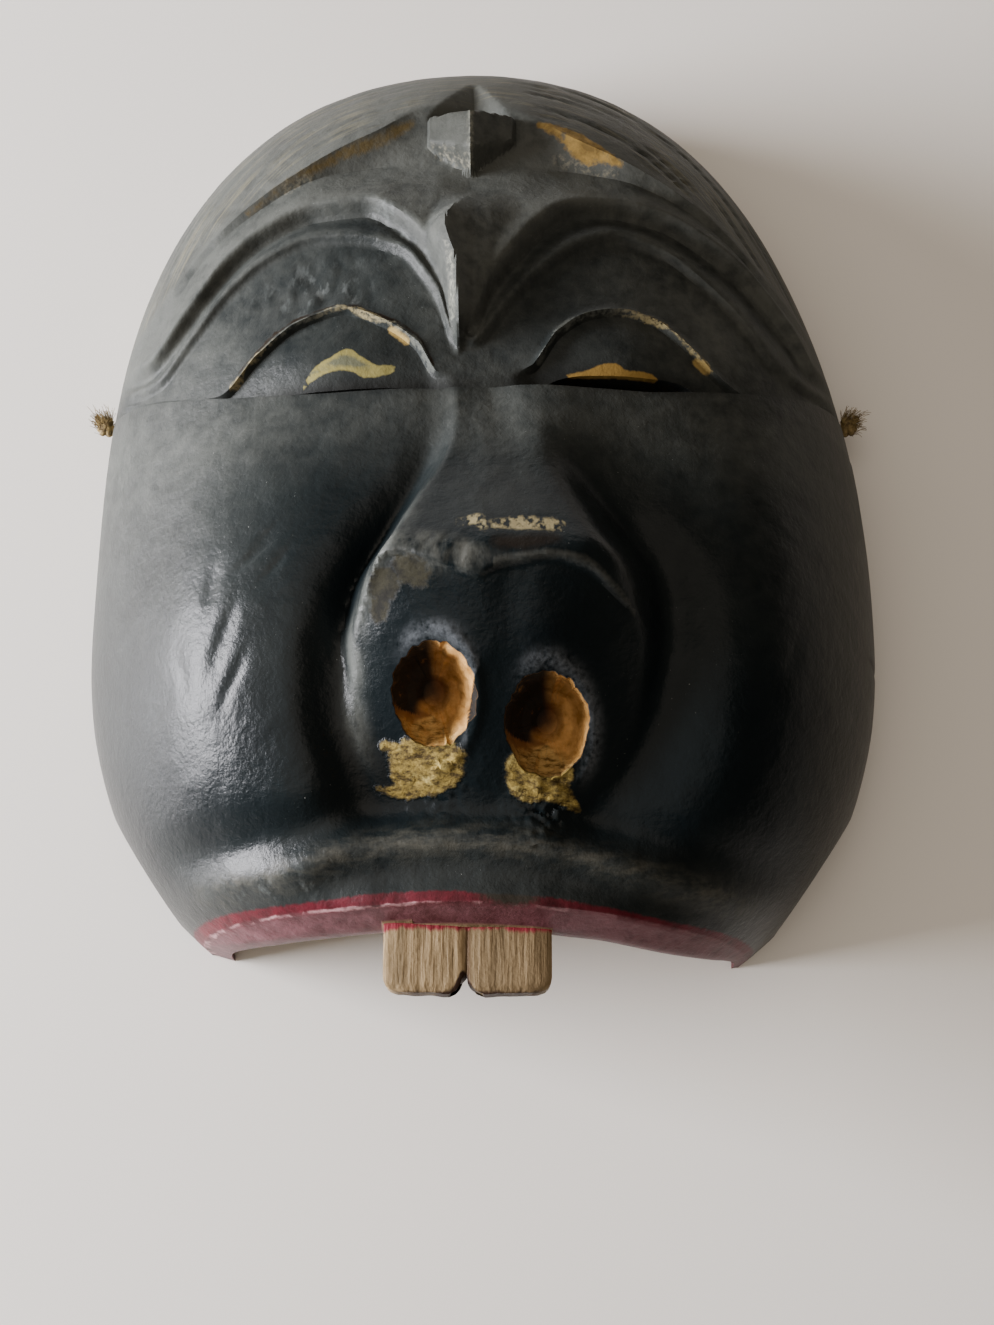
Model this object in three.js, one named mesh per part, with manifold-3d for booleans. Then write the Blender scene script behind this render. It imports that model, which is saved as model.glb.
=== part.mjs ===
// A carved and painted wooden half mask, lying face up on the flat back of its rim.
// One piece of light wood makes the face with its two teeth; a tie cord runs through
// a hole in each side wall and ends outside in a frayed stopper knot.
// Millimetres, +Z out of the face, +Y to the crown, +X to the right of the picture.

import * as THREE from 'three';
import { mergeVertices } from 'three/addons/utils/BufferGeometryUtils.js';
import Module from 'manifold-3d';

const wasm = await Module();
wasm.setup();

// Driving dimensions
const maskWidth = 150;        // across the cheeks
const maskLength = 193.4;     // crown to the tips of the teeth
const maskDepth = 79;         // back of the rim to the tip of the nose
const wallThickness = 10;     // front of the dome to the hollow behind it
const rimWidth = 9;           // flat ring that lies on the table
const rimHeight = 5;          // straight edge of the rim before the dome starts
const lipThickness = 7.2;     // bevelled lower edge of the upper lip, front to back
const toothThickness = 5.6;
const toothWidth = 13.9;
const slitHeightLeft = 2.6;   // sight slits under the painted eyes
const slitHeightRight = 4.4;
const slitLength = 29;
const nostrilWidth = 13.8;
const nostrilDepth = 10;
const nostrilPit = 3.4;       // narrow end of the cup, one gouge wide
const cordDiameter = 2.5;
const cordHoleDiameter = 3.7;
const cordHoleRise = 8.2;     // centre of the cord hole above the back of the rim
const knotDiameter = 5.6;
const clearance = 0.3;        // gap between pieces that touch

// The carving keeps its proportions: its points are given for the mask at the size
// 150 by 193.4 by 79, and follow the real width, length and depth by these three shares.
const across = maskWidth / 150;
const along = maskLength / 193.4;
const proud = maskDepth / 79;

// Facets of the carved front and of the gouged hollow
const columns = 50;
const hollowColumns = 22;
const hollowRows = 20;

function smooth(from, to, value) {
  return THREE.MathUtils.smoothstep((value - from) / (to - from), 0, 1);
}

function bell(distance, spread) {
  return Math.exp(-((distance / spread) ** 2));
}

// A smooth line through a few points, as a function of its first coordinate.
function carvedLine(points) {
  const last = points.length - 1;
  const pitch = points.slice(0, last).map(([x, y], i) => (points[i + 1][1] - y) / (points[i + 1][0] - x));
  const slope = points.map((_, i) => {
    if (i === 0 || i === last) return pitch[Math.min(i, last - 1)];
    const [a, b] = [pitch[i - 1], pitch[i]];
    return a * b <= 0 ? 0 : (2 * a * b) / (a + b);
  });
  return (x) => {
    if (x <= points[0][0]) return points[0][1] + slope[0] * (x - points[0][0]);
    if (x >= points[last][0]) return points[last][1] + slope[last] * (x - points[last][0]);
    const i = points.findIndex(([px]) => px > x) - 1;
    const span = points[i + 1][0] - points[i][0];
    const t = (x - points[i][0]) / span;
    return (1 + 2 * t) * (1 - t) ** 2 * points[i][1] + t * (1 - t) ** 2 * span * slope[i]
      + t * t * (3 - 2 * t) * points[i + 1][1] + t * t * (t - 1) * span * slope[i + 1];
  };
}

// Outline of the back rim in plan: a superellipse, fuller below than above
const crownY = 96.7;
const widestY = -25;
const halfWidth = 75;
const chinReach = 74.3;
const mouthY = -84;

function lean(y) {
  return -2.8 * smooth(-20, 60, y);
}

function halfAt(y, reach = 0) {
  const power = y > widestY ? 2.35 : 2.3;
  const length = y > widestY ? crownY - reach - widestY : chinReach - reach;
  const t = Math.min(1, Math.abs(y - widestY) / length);
  return (halfWidth - reach) * (1 - t ** power) ** (1 / power);
}

// The plain dome that the face is carved out of
const domeTop = 51;           // above the straight edge of the rim
const domeY = 10;             // the dome is deepest between the eyes

function domeAt(x, y) {
  const t = Math.min(1, (y - domeY) / (crownY - domeY));
  const top = y > domeY ? domeTop * Math.sqrt(1 - t * t) : domeTop - 5 * ((domeY - y) / 94) ** 2;
  const s = shareAcross(x, y);
  return 5 + top * (1 - s ** 2.1) ** (1 / 2.1);
}

function shareAcross(x, y) {
  return Math.min(1, Math.abs(x - lean(y)) / Math.max(halfAt(y), 0.001));
}

// The face is hand carved: its middle wanders from the crown down to the mouth.
const middle = carvedLine([[-97, -2.1], [-76, -1.6], [-60, 1.8], [-34, 2.8], [-5, 2.6], [12, -0.6],
  [30, -3.6], [60, -2.3], [97, -4]]);

// Carved lines of the face, from the left rim to the right rim: [x, y]
const mouthLine = carvedLine([[-60, -84.4], [-46, -84], [-30, -83.4], [-5, -82.6], [18, -83.8], [33, -85.6],
  [46, -86.4], [60, -86.8]]);
const rollLine = carvedLine([[-60, -79.6], [-42, -78.5], [-32, -77.6], [-21, -74.2], [-5, -72.6], [10, -73.8],
  [28, -78], [44, -81], [60, -81.6]]);
const noseBaseLine = carvedLine([[-70, -60], [-28, -65], [0, -66.5], [26, -68], [70, -60]]);
const ledge = carvedLine([[-74, 16.4], [-64, 12.4], [-50.4, 7.8], [-40.7, 5.7], [-24.5, 4.4], [1.4, 4.8],
  [27.4, 5.2], [38, 6.5], [47.7, 8.4], [60.8, 12.6], [74, 17]]);
const lid = carvedLine([[-75, 19.6], [-60, 13.4], [-47.5, 10], [-40, 16], [-32.7, 21.3], [-25.5, 23.4], [-17.2, 20],
  [-11.8, 15.7], [-7.8, 9.7], [0.5, 8.6], [8.7, 11], [13.7, 17.9], [19.2, 21.9], [24.6, 23.2], [30.1, 22.4],
  [35.5, 18.8], [42.5, 12.6], [48, 10.4], [60, 14.4], [75, 19.2]]);
const fold = carvedLine([[-75, 23], [-68, 18.4], [-61, 17], [-54.1, 23.2], [-47.6, 31], [-40.1, 36.8], [-31, 39.9],
  [-24.1, 39.2], [-14.9, 35.6], [-8.1, 25.8], [-4.9, 16.2], [-1.8, 15.6], [4.9, 23.7], [10.3, 30.3], [17.6, 37],
  [25.1, 40], [32.6, 38.6], [40, 33.8], [47.5, 27.2], [54.6, 18.8], [61, 17.2], [68, 18.2], [75, 22.6]]);
const brow = carvedLine([[-75, 27.4], [-69, 22.6], [-62.6, 21], [-53.5, 29.9], [-46.9, 38], [-40.1, 42.8], [-30.9, 46.1],
  [-22, 46], [-14.9, 41.4], [-10.2, 35.6], [-7.4, 30], [-4.9, 20], [-1.8, 18.8], [1.7, 27], [5.8, 33.8],
  [11.2, 41], [17.5, 45.4], [25.1, 46.6], [32.7, 46], [40.3, 43], [48, 38.4], [57.7, 28.3], [63, 22], [69, 22.4],
  [75, 26.8]]);
const hairFoot = carvedLine([[-75, 30.4], [-68, 27], [-61, 30], [-52, 41.4], [-42.5, 48.6], [-33, 54], [-26, 56.2], [-17, 57.2],
  [-9, 57.2], [-2, 54.8], [7, 56], [15, 56], [24, 54.6], [33.2, 51.6], [43, 46], [54, 35], [61.5, 29], [69, 26.4], [75, 30]]);
const hairEdge = carvedLine([[-75, 32.4], [-68, 29.4], [-62, 32.8], [-52, 43.4], [-42.5, 50.6], [-33, 56.4], [-27.5, 59.6],
  [-19.4, 64], [-12, 69.3], [-2, 71], [5, 69.4], [9.2, 67], [17.2, 61.6], [26, 57.6], [33.2, 54.2], [43, 48.2],
  [54, 37.4], [61.5, 31.6], [69, 28.8], [75, 32]]);

const cutWidth = 0.45;        // half the width of a chisel step, in plan
const browCut = 1;            // the wall under the brow is wider

// Length along +Y that stands for a millimetre square to a carved line
function lengthUp(line, x) {
  return Math.min(2.2, Math.hypot(1, (line(x + 0.2) - line(x - 0.2)) / 0.4));
}

function beyond(line, x, y) {
  return (y - line(x)) / lengthUp(line, x);
}

function above(line, x, y, cut = cutWidth) {
  return THREE.MathUtils.clamp(0.5 + beyond(line, x, y) / (2 * cut), 0, 1);
}

// Brow terraces, eye sockets and lids
function upperFace(x, y) {
  const side = Math.abs(x - middle(y));
  const edge = 1 - smooth(0.86, 0.99, shareAcross(x, y));
  const socket = bell(side - 27, 15) * bell(y - 15, 9);
  const overBrow = above(brow, x, y, browCut);
  const overFold = above(fold, x, y);
  const band = smooth(0, 1, (y - fold(x)) / Math.max(1, brow(x) - fold(x)));
  const brows = 1.2 * bell(Math.max(0, beyond(brow, x, y)), 5) * overBrow - (1 - overBrow) * (1.2 + 1.8 * band);
  const folds = -1.8 * (1 - overFold);
  const lids = 3 * socket * (1 - overFold) - 1.5 * (1 - above(lid, x, y)) * smooth(5, 10, side);
  return (brows + folds + lids) * edge;
}

// Frown leaf between the brows: a crest with a narrow left and a wide right facet
const leafCrest = carvedLine([[14, -4.2], [29, -4.6], [38, -6.6], [47, -2.4]]);
const leafLeft = carvedLine([[14, 0.6], [24, 1.6], [34, 3.4], [41, 3.6], [47, 5]]);
const leafRight = carvedLine([[14, 0.6], [23, 3.6], [34, 8], [42, 12], [47, 9]]);

function frownLeaf(x, y) {
  const d = x - leafCrest(y);
  const share = Math.abs(d) / (d < 0 ? leafLeft(y) : leafRight(y));
  return 4.2 * Math.max(0, 1 - share) * (1 - smooth(40, 48.5, y)) * smooth(13, 19, y);
}

// Diadem: the raised hair edge, its broad chamfer beside the stud, and the parting
const studX = -2.3;
const studHalfWidth = 7.4;

function diadem(x, y) {
  const side = Math.abs(x - studX);
  const strength = 1 - 0.75 * smooth(24, 58, side);
  const edge = 1 - smooth(0.88, 0.99, shareAcross(x, y));
  const foot = hairFoot(x);
  const share = THREE.MathUtils.clamp((y - foot) / (hairEdge(x) - foot), 0, 1);
  const strip = -2.4 * bell(Math.max(0, foot - y), 7) * (1 - smooth(16, 34, side)) - 0.5;
  const hair = 2.2 * bell(Math.max(0, y - hairEdge(x)), 16);
  return (strip * (1 - share) * smooth(-14, -4, y - foot) + hair * share) * strength * edge;
}

function stud(x, y) {
  const side = Math.abs(x - studX);
  const roof = 6.4 * (1 - side / 11);
  const topEnd = (66.8 - y) * 3;
  const lowEnd = (y - 54 - side * 0.8) * 3;
  return side > studHalfWidth + 0.8 ? 0 : Math.max(0, Math.min(roof, topEnd, lowEnd, (studHalfWidth + 0.8 - side) * 5));
}

// The parting is a notch above the stud that narrows to a point near the crown
function parting(x, y) {
  const d = x + 1.8;
  const open = THREE.MathUtils.clamp((80.5 - y) / 14, 0.05, 1);
  const flank = Math.max(0, open - Math.abs(d) / (d < 0 ? 9.4 : 7.4));
  return -5 * flank * smooth(66.2, 67.6, y) * (1 - smooth(78, 80.5, y));
}

// Puffed cheeks below the eye ledge. The left one reaches the nose, with a furrow along it
const furrowDepth = 2.8;
const cheekReach = 10;        // how much nearer to the nose the left cheek comes

function cheeks(x, y) {
  const side = Math.abs(x - middle(y));
  const start = 5 + 20 * smooth(0, -34, y);
  const near = smooth(6, 18, middle(y) - x);
  const puff = 8.6 * bell(side - 46, side < 46 ? 20 + 14 * near : 20) * bell(y + 38, 33);
  const furrow = furrowDepth * near * bell(side - noseHalf(y) - 4, 4) * smooth(-10, -30, y) * smooth(-74, -62, y);
  const foot = start - cheekReach * near;
  const shelf = 3.2 * smooth(-88, -62, y) * smooth(start - 10, start + 9, side);
  return (shelf + puff * smooth(foot - 6, foot + 14, side) - furrow) * (1 - shareAcross(x, y) ** 7);
}

// Upturned nose: a narrow bridge that flares to a worn tip, and a broad underside
const noseRootY = 4.5;
const noseTipY = -32.5;
const noseFootY = -66;
const noseFlank = 2.8;        // drop of the flank for each millimetre sideways, less on the right
const noseBlend = 8;          // how far the nose fades into the lip
const noseHalf = carvedLine([[-70, 14], [-60, 20.4], [-50, 23.4], [-43, 23.4], [-35, 20.6], [-27, 16], [-20, 13.2], [-8, 8],
  [5, 5.6]]);

function nose(x, y) {
  const d = x - middle(y);
  const side = Math.abs(d);
  const notch = 0.9 * bell(d - 1.5, 3.5);
  const rise = smooth(noseRootY + 1, noseTipY, y);
  const t = THREE.MathUtils.clamp((noseRootY - y) / (noseRootY - noseTipY), 0, 1);
  const bridge = 57.4 + 21.4 * t ** 1.3;
  const under = THREE.MathUtils.mapLinear(y, noseTipY, noseFootY, 79.6 - notch, 53.2) - 0.011 * side * side;
  const tip = -higher(-bridge, -under, 2.2);
  const flank = Math.max(0, side - noseHalf(y));
  const slope = (noseFlank - 0.9 * smooth(0, 6, d)) * (0.4 + 0.6 * smooth(2, -18, y));
  return tip - slope * flank - 0.004 * side * side * rise;
}

// Upper lip: a worn roll over a flat red edge, and a shallow valley above the roll
const valleyRise = 6.5;
const valleySpread = 3.4;

function lips(x, y) {
  const edge = 1 - smooth(0.8, 0.98, shareAcross(x, y));
  return (2 * bell(y - rollLine(x), 3.2) + 0.7 * bell(y - mouthLine(x) - 1, 2.5)
    - 1.1 * bell(y - rollLine(x) - valleyRise, valleySpread)) * edge;
}

function higher(a, b, blend) {
  return Math.log(Math.exp(a / blend) + Math.exp(b / blend)) * blend;
}

// Height of the carved front above the back of the rim, before the mask's own depth
function faceHeight(x, y) {
  const dome = domeAt(x, y);
  const eyes = dome + upperFace(x, y) + frownLeaf(x, y) + diadem(x, y) + stud(x, y) + parting(x, y);
  const lowFace = dome + cheeks(x, y) + lips(x, y);
  const soft = 1.3 + 2.2 * smooth(0, 12, x - middle(y)) + 1.8 * smooth(-24, -8, y);
  const withNose = y < noseRootY + 3 && y > noseFootY - noseBlend ? higher(lowFace, nose(x, y), soft) : lowFace;
  const t = above(ledge, x, y);
  return withNose * (1 - t) + eyes * t;
}

// Where a carved line meets the rim on one side
function rimEnd(line, sign) {
  let x = sign * halfWidth * 0.96;
  for (let i = 0; i < 40; i += 1) x = (x + lean(line(x)) + sign * halfAt(line(x))) / 2;
  return x;
}

// Columns stand closer at the middle, for the nose, and at the rim, where the dome is steep.
function columnShare(u) {
  return u - (0.36 * Math.sin(2 * Math.PI * u)) / (2 * Math.PI);
}

// One row of plan points from rim to rim along a carved line, moved across it by offset
function planRow(line, offset) {
  const moved = (x) => line(x) + offset * lengthUp(line, x);
  const [left, right] = [rimEnd(moved, -1), rimEnd(moved, 1)];
  return Array.from({ length: columns + 1 }, (_, i) => {
    const x = left + (right - left) * (0.5 + columnShare((2 * i) / columns - 1) / 2);
    return [x, moved(x)];
  });
}

// The crown's row follows the outline from one end of the hair edge to the other.
function crownRow() {
  const power = 2.35;
  const ends = planRow(hairEdge, cutWidth);
  const start = Math.asin(((ends[0][1] - widestY) / (crownY - widestY)) ** (power / 2));
  return ends.map((_, i) => {
    const angle = Math.PI - start - (Math.PI - 2 * start) * (i / columns);
    const y = widestY + (crownY - widestY) * Math.abs(Math.sin(angle)) ** (2 / power);
    return [lean(y) + Math.sign(Math.cos(angle)) * halfWidth * Math.abs(Math.cos(angle)) ** (2 / power), y];
  });
}

function between(low, high, steps, ease = (t) => t) {
  return Array.from({ length: steps }, (_, k) => {
    const t = ease((k + 1) / steps);
    return low.map(([x, y], i) => [x + (high[i][0] - x) * t, y + (high[i][1] - y) * t]);
  });
}

// All rows of the front, mouth to crown; each chisel step has a row on either side of it.
function frontRows() {
  const stops = [
    [planRow(rollLine, -3), 3], [planRow(rollLine, 0), 2], [planRow(noseBaseLine, 0), 4],
    [planRow((x) => -45 + 0.0006 * x * x, 0), 6], [planRow((x) => noseTipY + 0.003 * x * x, 0), 4],
    [planRow(ledge, -4), 9], [planRow(ledge, -cutWidth), 2], [planRow(ledge, cutWidth), 1],
    [planRow(lid, -cutWidth), 4], [planRow(lid, cutWidth), 1], [planRow(fold, -cutWidth), 4],
    [planRow(fold, cutWidth), 1], [planRow(brow, -browCut), 2], [planRow(brow, browCut), 1],
    [planRow(hairFoot, 0), 4], [planRow(hairEdge, 0), 5],
  ];
  const rows = [planRow(mouthLine, 0)];
  for (const [row, steps] of stops) rows.push(...between(rows.at(-1), row, steps));
  rows.push(...between(rows.at(-1), crownRow(), 9, (t) => t * (1.5 - 0.5 * t * t)));
  return rows;
}

function placed([x, y], z) {
  return [x * across, y * along, z];
}

// Closed mesh from rows of points that run rim to rim, closed below by a flat foot.
// Each cell is split along its shorter diagonal, which follows the ridges.
function blockFromRows(rows, foot) {
  const vertices = rows.flat(2);
  const count = rows[0].length;
  const faces = [];
  const apart = (p, q) => Math.hypot(...p.map((value, axis) => value - q[axis]));
  for (let k = 0; k + 1 < rows.length; k += 1) {
    for (let i = 0; i + 1 < count; i += 1) {
      const [a, b, c, d] = [k * count + i, k * count + i + 1, (k + 1) * count + i + 1, (k + 1) * count + i];
      const rising = apart(rows[k][i], rows[k + 1][i + 1]) < apart(rows[k][i + 1], rows[k + 1][i]);
      faces.push(...(rising ? [a, b, c, a, c, d] : [a, b, d, b, c, d]));
    }
  }
  const top = (rows.length - 1) * count;
  const border = [];
  for (let i = 0; i < count - 1; i += 1) border.push(i);
  for (let k = 0; k < rows.length - 1; k += 1) border.push(k * count + count - 1);
  for (let i = count - 1; i > 0; i -= 1) border.push(top + i);
  for (let k = rows.length - 1; k > 0; k -= 1) border.push(k * count);
  const first = vertices.length / 3;
  border.forEach((index) => vertices.push(vertices[3 * index], vertices[3 * index + 1], foot));
  vertices.push(0, 0, foot);
  border.forEach((index, n) => {
    const next = (n + 1) % border.length;
    faces.push(index, first + n, first + next, index, first + next, border[next]);
    faces.push(first + n, first + border.length, first + next);
  });
  return solid(geometryOf(vertices, faces));
}

function geometryOf(vertices, faces) {
  const geometry = new THREE.BufferGeometry();
  geometry.setAttribute('position', new THREE.Float32BufferAttribute(vertices, 3));
  geometry.setIndex(faces);
  return geometry;
}

function solid(geometry) {
  const bare = geometry.clone();
  bare.deleteAttribute('normal');
  bare.deleteAttribute('uv');
  const merged = mergeVertices(bare, 1e-4);
  return new wasm.Manifold(new wasm.Mesh({
    numProp: 3,
    vertProperties: new Float32Array(merged.attributes.position.array),
    triVerts: new Uint32Array(merged.index.array),
  }));
}

function geometryFrom(manifold) {
  const mesh = manifold.getMesh();
  return geometryOf(Array.from(mesh.vertProperties), Array.from(mesh.triVerts));
}

// Outside of the mask: the carved front, the bevelled lip and the straight rim
const lipBevel = 0.5;         // run of the bevel for each millimetre of its drop
const bevelFrom = 10;         // the bevel starts above the corners of the mouth
const bevelFull = 48;

function outside() {
  const rows = frontRows().map((row) => row.map((point, i) => {
    const atRim = i === 0 || i === columns;
    return placed(point, atRim ? rimHeight : Math.max(rimHeight, faceHeight(...point) * proud));
  }));
  rows.at(-1).forEach((point) => { point[2] = rimHeight; });
  const lipBack = rows[0].map(([x, y, z]) => {
    const drop = Math.min(lipThickness * 0.88, Math.max(0.01, (z - rimHeight) * 0.5));
    return [x, y - drop * lipBevel * smooth(bevelFrom, bevelFull, z), z - drop];
  });
  return blockFromRows([lipBack, ...rows], 0);
}

// The gouged hollow: a smooth dome a wall's thickness behind the front, open at the mouth
const endThinner = 0.5;       // share that the rim loses in width at the corners of the mouth

function hollow() {
  const reach = rimWidth / across;
  const rearY = -112;
  const topY = crownY - rimWidth / along;
  const depth = (domeTop + 5) * proud - wallThickness;
  const deepAt = (y) => {
    const t = Math.min(1, Math.max(0, y - domeY) / (topY - domeY));
    return depth * Math.sqrt(1 - t * t) - 3.5 * Math.max(0, (domeY - y) / 94) ** 2;
  };
  const widthAt = (y) => (y > widestY ? halfAt(y, reach) : halfAt(Math.max(y, mouthY)) - reach * (1 - endThinner * smooth(-50, mouthY, y)));
  const rows = Array.from({ length: hollowRows + 1 }, (_, k) => {
    const t = k / hollowRows;
    const y = rearY + (topY - 0.02 - rearY) * Math.sin((t * Math.PI) / 2);
    return Array.from({ length: hollowColumns + 1 }, (__, i) => {
      const share = Math.sin(((2 * i) / hollowColumns - 1) * (Math.PI / 2));
      const rise = Math.max(0, 1 - Math.abs(share) ** 2.2) ** (1 / 2.2);
      const noseGouge = 7 * proud * bell(share * widthAt(y) - 2, 10) * bell(y + 36, 16);
      return placed([lean(y) + share * widthAt(y), y], deepAt(y) * rise + noseGouge * rise);
    });
  });
  return blockFromRows(rows, -10);
}

// One tooth, a flat tongue with rounded lower corners, hanging behind the lip
const teethX = -2.2;
const teethTopY = -79;
const teethFrontZ = 45.6;

function tooth(sign) {
  const [w, corner] = [toothWidth, 2.2];
  const lowY = -maskLength / 2;
  const outline = new THREE.Shape();
  outline.moveTo(-w / 2, teethTopY * along);
  outline.lineTo(-w / 2, lowY + corner);
  outline.quadraticCurveTo(-w / 2, lowY, -w / 2 + corner, lowY);
  outline.lineTo(w / 2 - corner, lowY);
  outline.quadraticCurveTo(w / 2, lowY, w / 2, lowY + corner);
  outline.lineTo(w / 2, teethTopY * along);
  const plate = new THREE.ExtrudeGeometry(outline, { depth: toothThickness, bevelEnabled: false, curveSegments: 4 });
  plate.translate(teethX * across + sign * (w / 2 - 0.15), 0, teethFrontZ * proud - toothThickness);
  return solid(plate);
}

// Sight slit, following the ledge just above it, cut straight through the wall
function slit(sign, height) {
  const from = middle(8) * across + sign * 9.5;
  const steps = 8;
  const low = [];
  const high = [];
  for (let i = 0; i <= steps; i += 1) {
    const x = from + sign * slitLength * (i / steps);
    const y = (ledge(x / across) + cutWidth) * along + 0.4;
    const taper = Math.sqrt(Math.max(0.04, 1 - (2 * i / steps - 1) ** 4));
    low.push(new THREE.Vector2(x, y));
    high.unshift(new THREE.Vector2(x, y + height * taper));
  }
  const cut = new THREE.ExtrudeGeometry(new THREE.Shape([...low, ...high]), { depth: 60 * proud, bevelEnabled: false });
  cut.translate(0, 0, 20 * proud);
  return solid(cut);
}

// Nostril: a gouged cup in the slanting underside of the nose; it does not reach the hollow
const noseSlant = Math.atan2(79.6 - 53.2, noseTipY - noseFootY);
const nostrilLong = 1.25;     // length of the cup for its width
const nostrilPlaces = [[-7.9, -52], [10.9, -56.2]];

function nostril([x, y]) {
  const mouth = nostrilWidth / 2;
  const profile = [[0, -nostrilDepth * 1.18], [nostrilPit / 2, -nostrilDepth * 1.12], [mouth * 0.62, -nostrilDepth * 0.8],
    [mouth * 0.86, -nostrilDepth * 0.45], [mouth, 0], [mouth * 1.12, 3], [mouth * 1.2, 14], [0, 14]];
  const cup = new THREE.LatheGeometry(profile.map(([r, h]) => new THREE.Vector2(r, h)), 18);
  cup.rotateX(Math.PI / 2);
  cup.scale(1, nostrilLong, 1);
  cup.rotateX(noseSlant * 0.55);
  cup.translate(x * across, y * along, faceHeight(x, y) * proud);
  return solid(cup);
}

// Bored hole for the cord, square through both side walls
const cordY = 20.1;

function cordHoles() {
  const bore = new THREE.CylinderGeometry(cordHoleDiameter / 2, cordHoleDiameter / 2, maskWidth * 1.2, 16);
  bore.rotateZ(Math.PI / 2);
  bore.translate(0, cordY * along, cordHoleRise);
  return solid(bore);
}

function maskGeometry() {
  const body = outside()
    .subtract(hollow())
    .add(tooth(-1))
    .add(tooth(1))
    .subtract(slit(-1, slitHeightLeft))
    .subtract(slit(1, slitHeightRight))
    .subtract(nostril(nostrilPlaces[0]))
    .subtract(nostril(nostrilPlaces[1]))
    .subtract(cordHoles());
  return geometryFrom(body);
}

// Outer face of the side wall at the cord hole
function wallX(sign) {
  return (lean(cordY) + sign * halfAt(cordY)) * across;
}

// Stopper knot with its short frayed end, outside the wall
function knotGeometry(sign) {
  const r = knotDiameter / 2;
  const profile = [[0, 0], [0.6, 0.06], [1, 0.6], [0.95, 1.1], [0.5, 1.6], [0.72, 2.2], [0, 2.4]];
  const knot = new THREE.LatheGeometry(profile.map(([a, h]) => new THREE.Vector2(a * r, h * r)), 10);
  knot.rotateZ(-sign * Math.PI / 2);
  knot.translate(wallX(sign) + sign * clearance, cordY * along, cordHoleRise);
  return mergeVertices(bareCopy(knot), 1e-4);
}

function bareCopy(geometry) {
  const bare = geometry.clone();
  bare.deleteAttribute('normal');
  bare.deleteAttribute('uv');
  return bare;
}

// The tie cord between the knots: through the left hole, down to the table inside the
// hollow, across it in a loose bend, and out through the right hole.
const cordRest = cordDiameter / 2 + 0.2;
const leftEnd = wallX(-1) - clearance / 2 + 0.2;
const rightEnd = wallX(1) + clearance / 2 - 0.2;
const cordRoute = [
  [leftEnd, 20.1, 8.2], [leftEnd + 5, 20.1, 8.2], [leftEnd + 11, 20.1, 8.1], [leftEnd + 15, 19.4, 6.6],
  [leftEnd + 19, 16.8, 3.4], [leftEnd + 24, 12, cordRest], [-41, 3, cordRest], [-34, -8, cordRest],
  [-24, -15, cordRest], [-12, -15.5, cordRest], [-2, -9, cordRest], [7, 0, cordRest], [17, 5, cordRest],
  [28, 4, cordRest], [38, 3.4, cordRest], [rightEnd - 24, 8.5, cordRest], [rightEnd - 19, 15.4, 3.2],
  [rightEnd - 15, 19.2, 6.6], [rightEnd - 11, 20.1, 8.1], [rightEnd - 5, 20.1, 8.2], [rightEnd, 20.1, 8.2],
];

function cordGeometry() {
  const path = new THREE.CatmullRomCurve3(cordRoute.map((p) => new THREE.Vector3(...p)), false, 'centripetal');
  const section = new THREE.Shape();
  section.absarc(0, 0, cordDiameter / 2, 0, Math.PI * 2, false);
  return new THREE.ExtrudeGeometry(section, {
    steps: 32, curveSegments: 4, bevelEnabled: false, extrudePath: path,
  });
}

const paintedWood = new THREE.MeshStandardMaterial({ color: '#22282a', roughness: 0.38, metalness: 0 });
const jute = new THREE.MeshStandardMaterial({ color: '#8a7550', roughness: 0.95, metalness: 0 });
const juteKnot = new THREE.MeshStandardMaterial({ color: '#7d6846', roughness: 0.95, metalness: 0 });

function piece(name, geometry, material) {
  const mesh = new THREE.Mesh(geometry, material);
  mesh.name = name;
  return mesh;
}

const model = new THREE.Group();
model.add(
  piece('mask', maskGeometry(), paintedWood),
  piece('cord', cordGeometry(), jute),
  piece('knot_left', knotGeometry(-1), juteKnot),
  piece('knot_right', knotGeometry(1), juteKnot),
);

export default model;
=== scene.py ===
# A carved and painted wooden half mask, lying face up on a pale table: black enamel over
# light wood, a red upper lip with two teeth, and the frayed knots of its tie cord outside
# the side walls. Lengths are worked out in millimetres and turned into metres last.

import math

import bpy
import numpy as np
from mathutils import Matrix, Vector


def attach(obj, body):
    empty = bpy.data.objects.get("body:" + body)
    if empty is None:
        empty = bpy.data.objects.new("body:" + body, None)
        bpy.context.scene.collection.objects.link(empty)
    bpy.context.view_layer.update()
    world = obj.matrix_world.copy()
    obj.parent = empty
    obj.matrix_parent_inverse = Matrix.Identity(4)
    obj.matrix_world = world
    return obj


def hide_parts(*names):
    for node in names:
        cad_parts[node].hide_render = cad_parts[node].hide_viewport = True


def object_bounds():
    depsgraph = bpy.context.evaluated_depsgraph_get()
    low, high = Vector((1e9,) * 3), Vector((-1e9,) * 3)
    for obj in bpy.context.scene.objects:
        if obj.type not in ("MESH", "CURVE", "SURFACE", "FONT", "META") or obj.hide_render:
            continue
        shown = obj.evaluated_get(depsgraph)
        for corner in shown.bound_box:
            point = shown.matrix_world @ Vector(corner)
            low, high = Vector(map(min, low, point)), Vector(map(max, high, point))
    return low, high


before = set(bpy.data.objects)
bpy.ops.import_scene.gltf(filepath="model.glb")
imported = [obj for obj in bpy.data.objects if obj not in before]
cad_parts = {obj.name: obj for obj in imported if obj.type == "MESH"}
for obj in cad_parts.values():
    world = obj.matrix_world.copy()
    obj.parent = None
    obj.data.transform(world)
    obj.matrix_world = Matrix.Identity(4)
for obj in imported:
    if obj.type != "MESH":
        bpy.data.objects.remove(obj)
cad_box = [list(corner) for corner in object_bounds()]

MM = 0.001


# Camera
# A phone held above the chin, looking down at the face. Its place and lens are the ones
# from which the outline of the mask looks as it does in the photograph.

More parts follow.
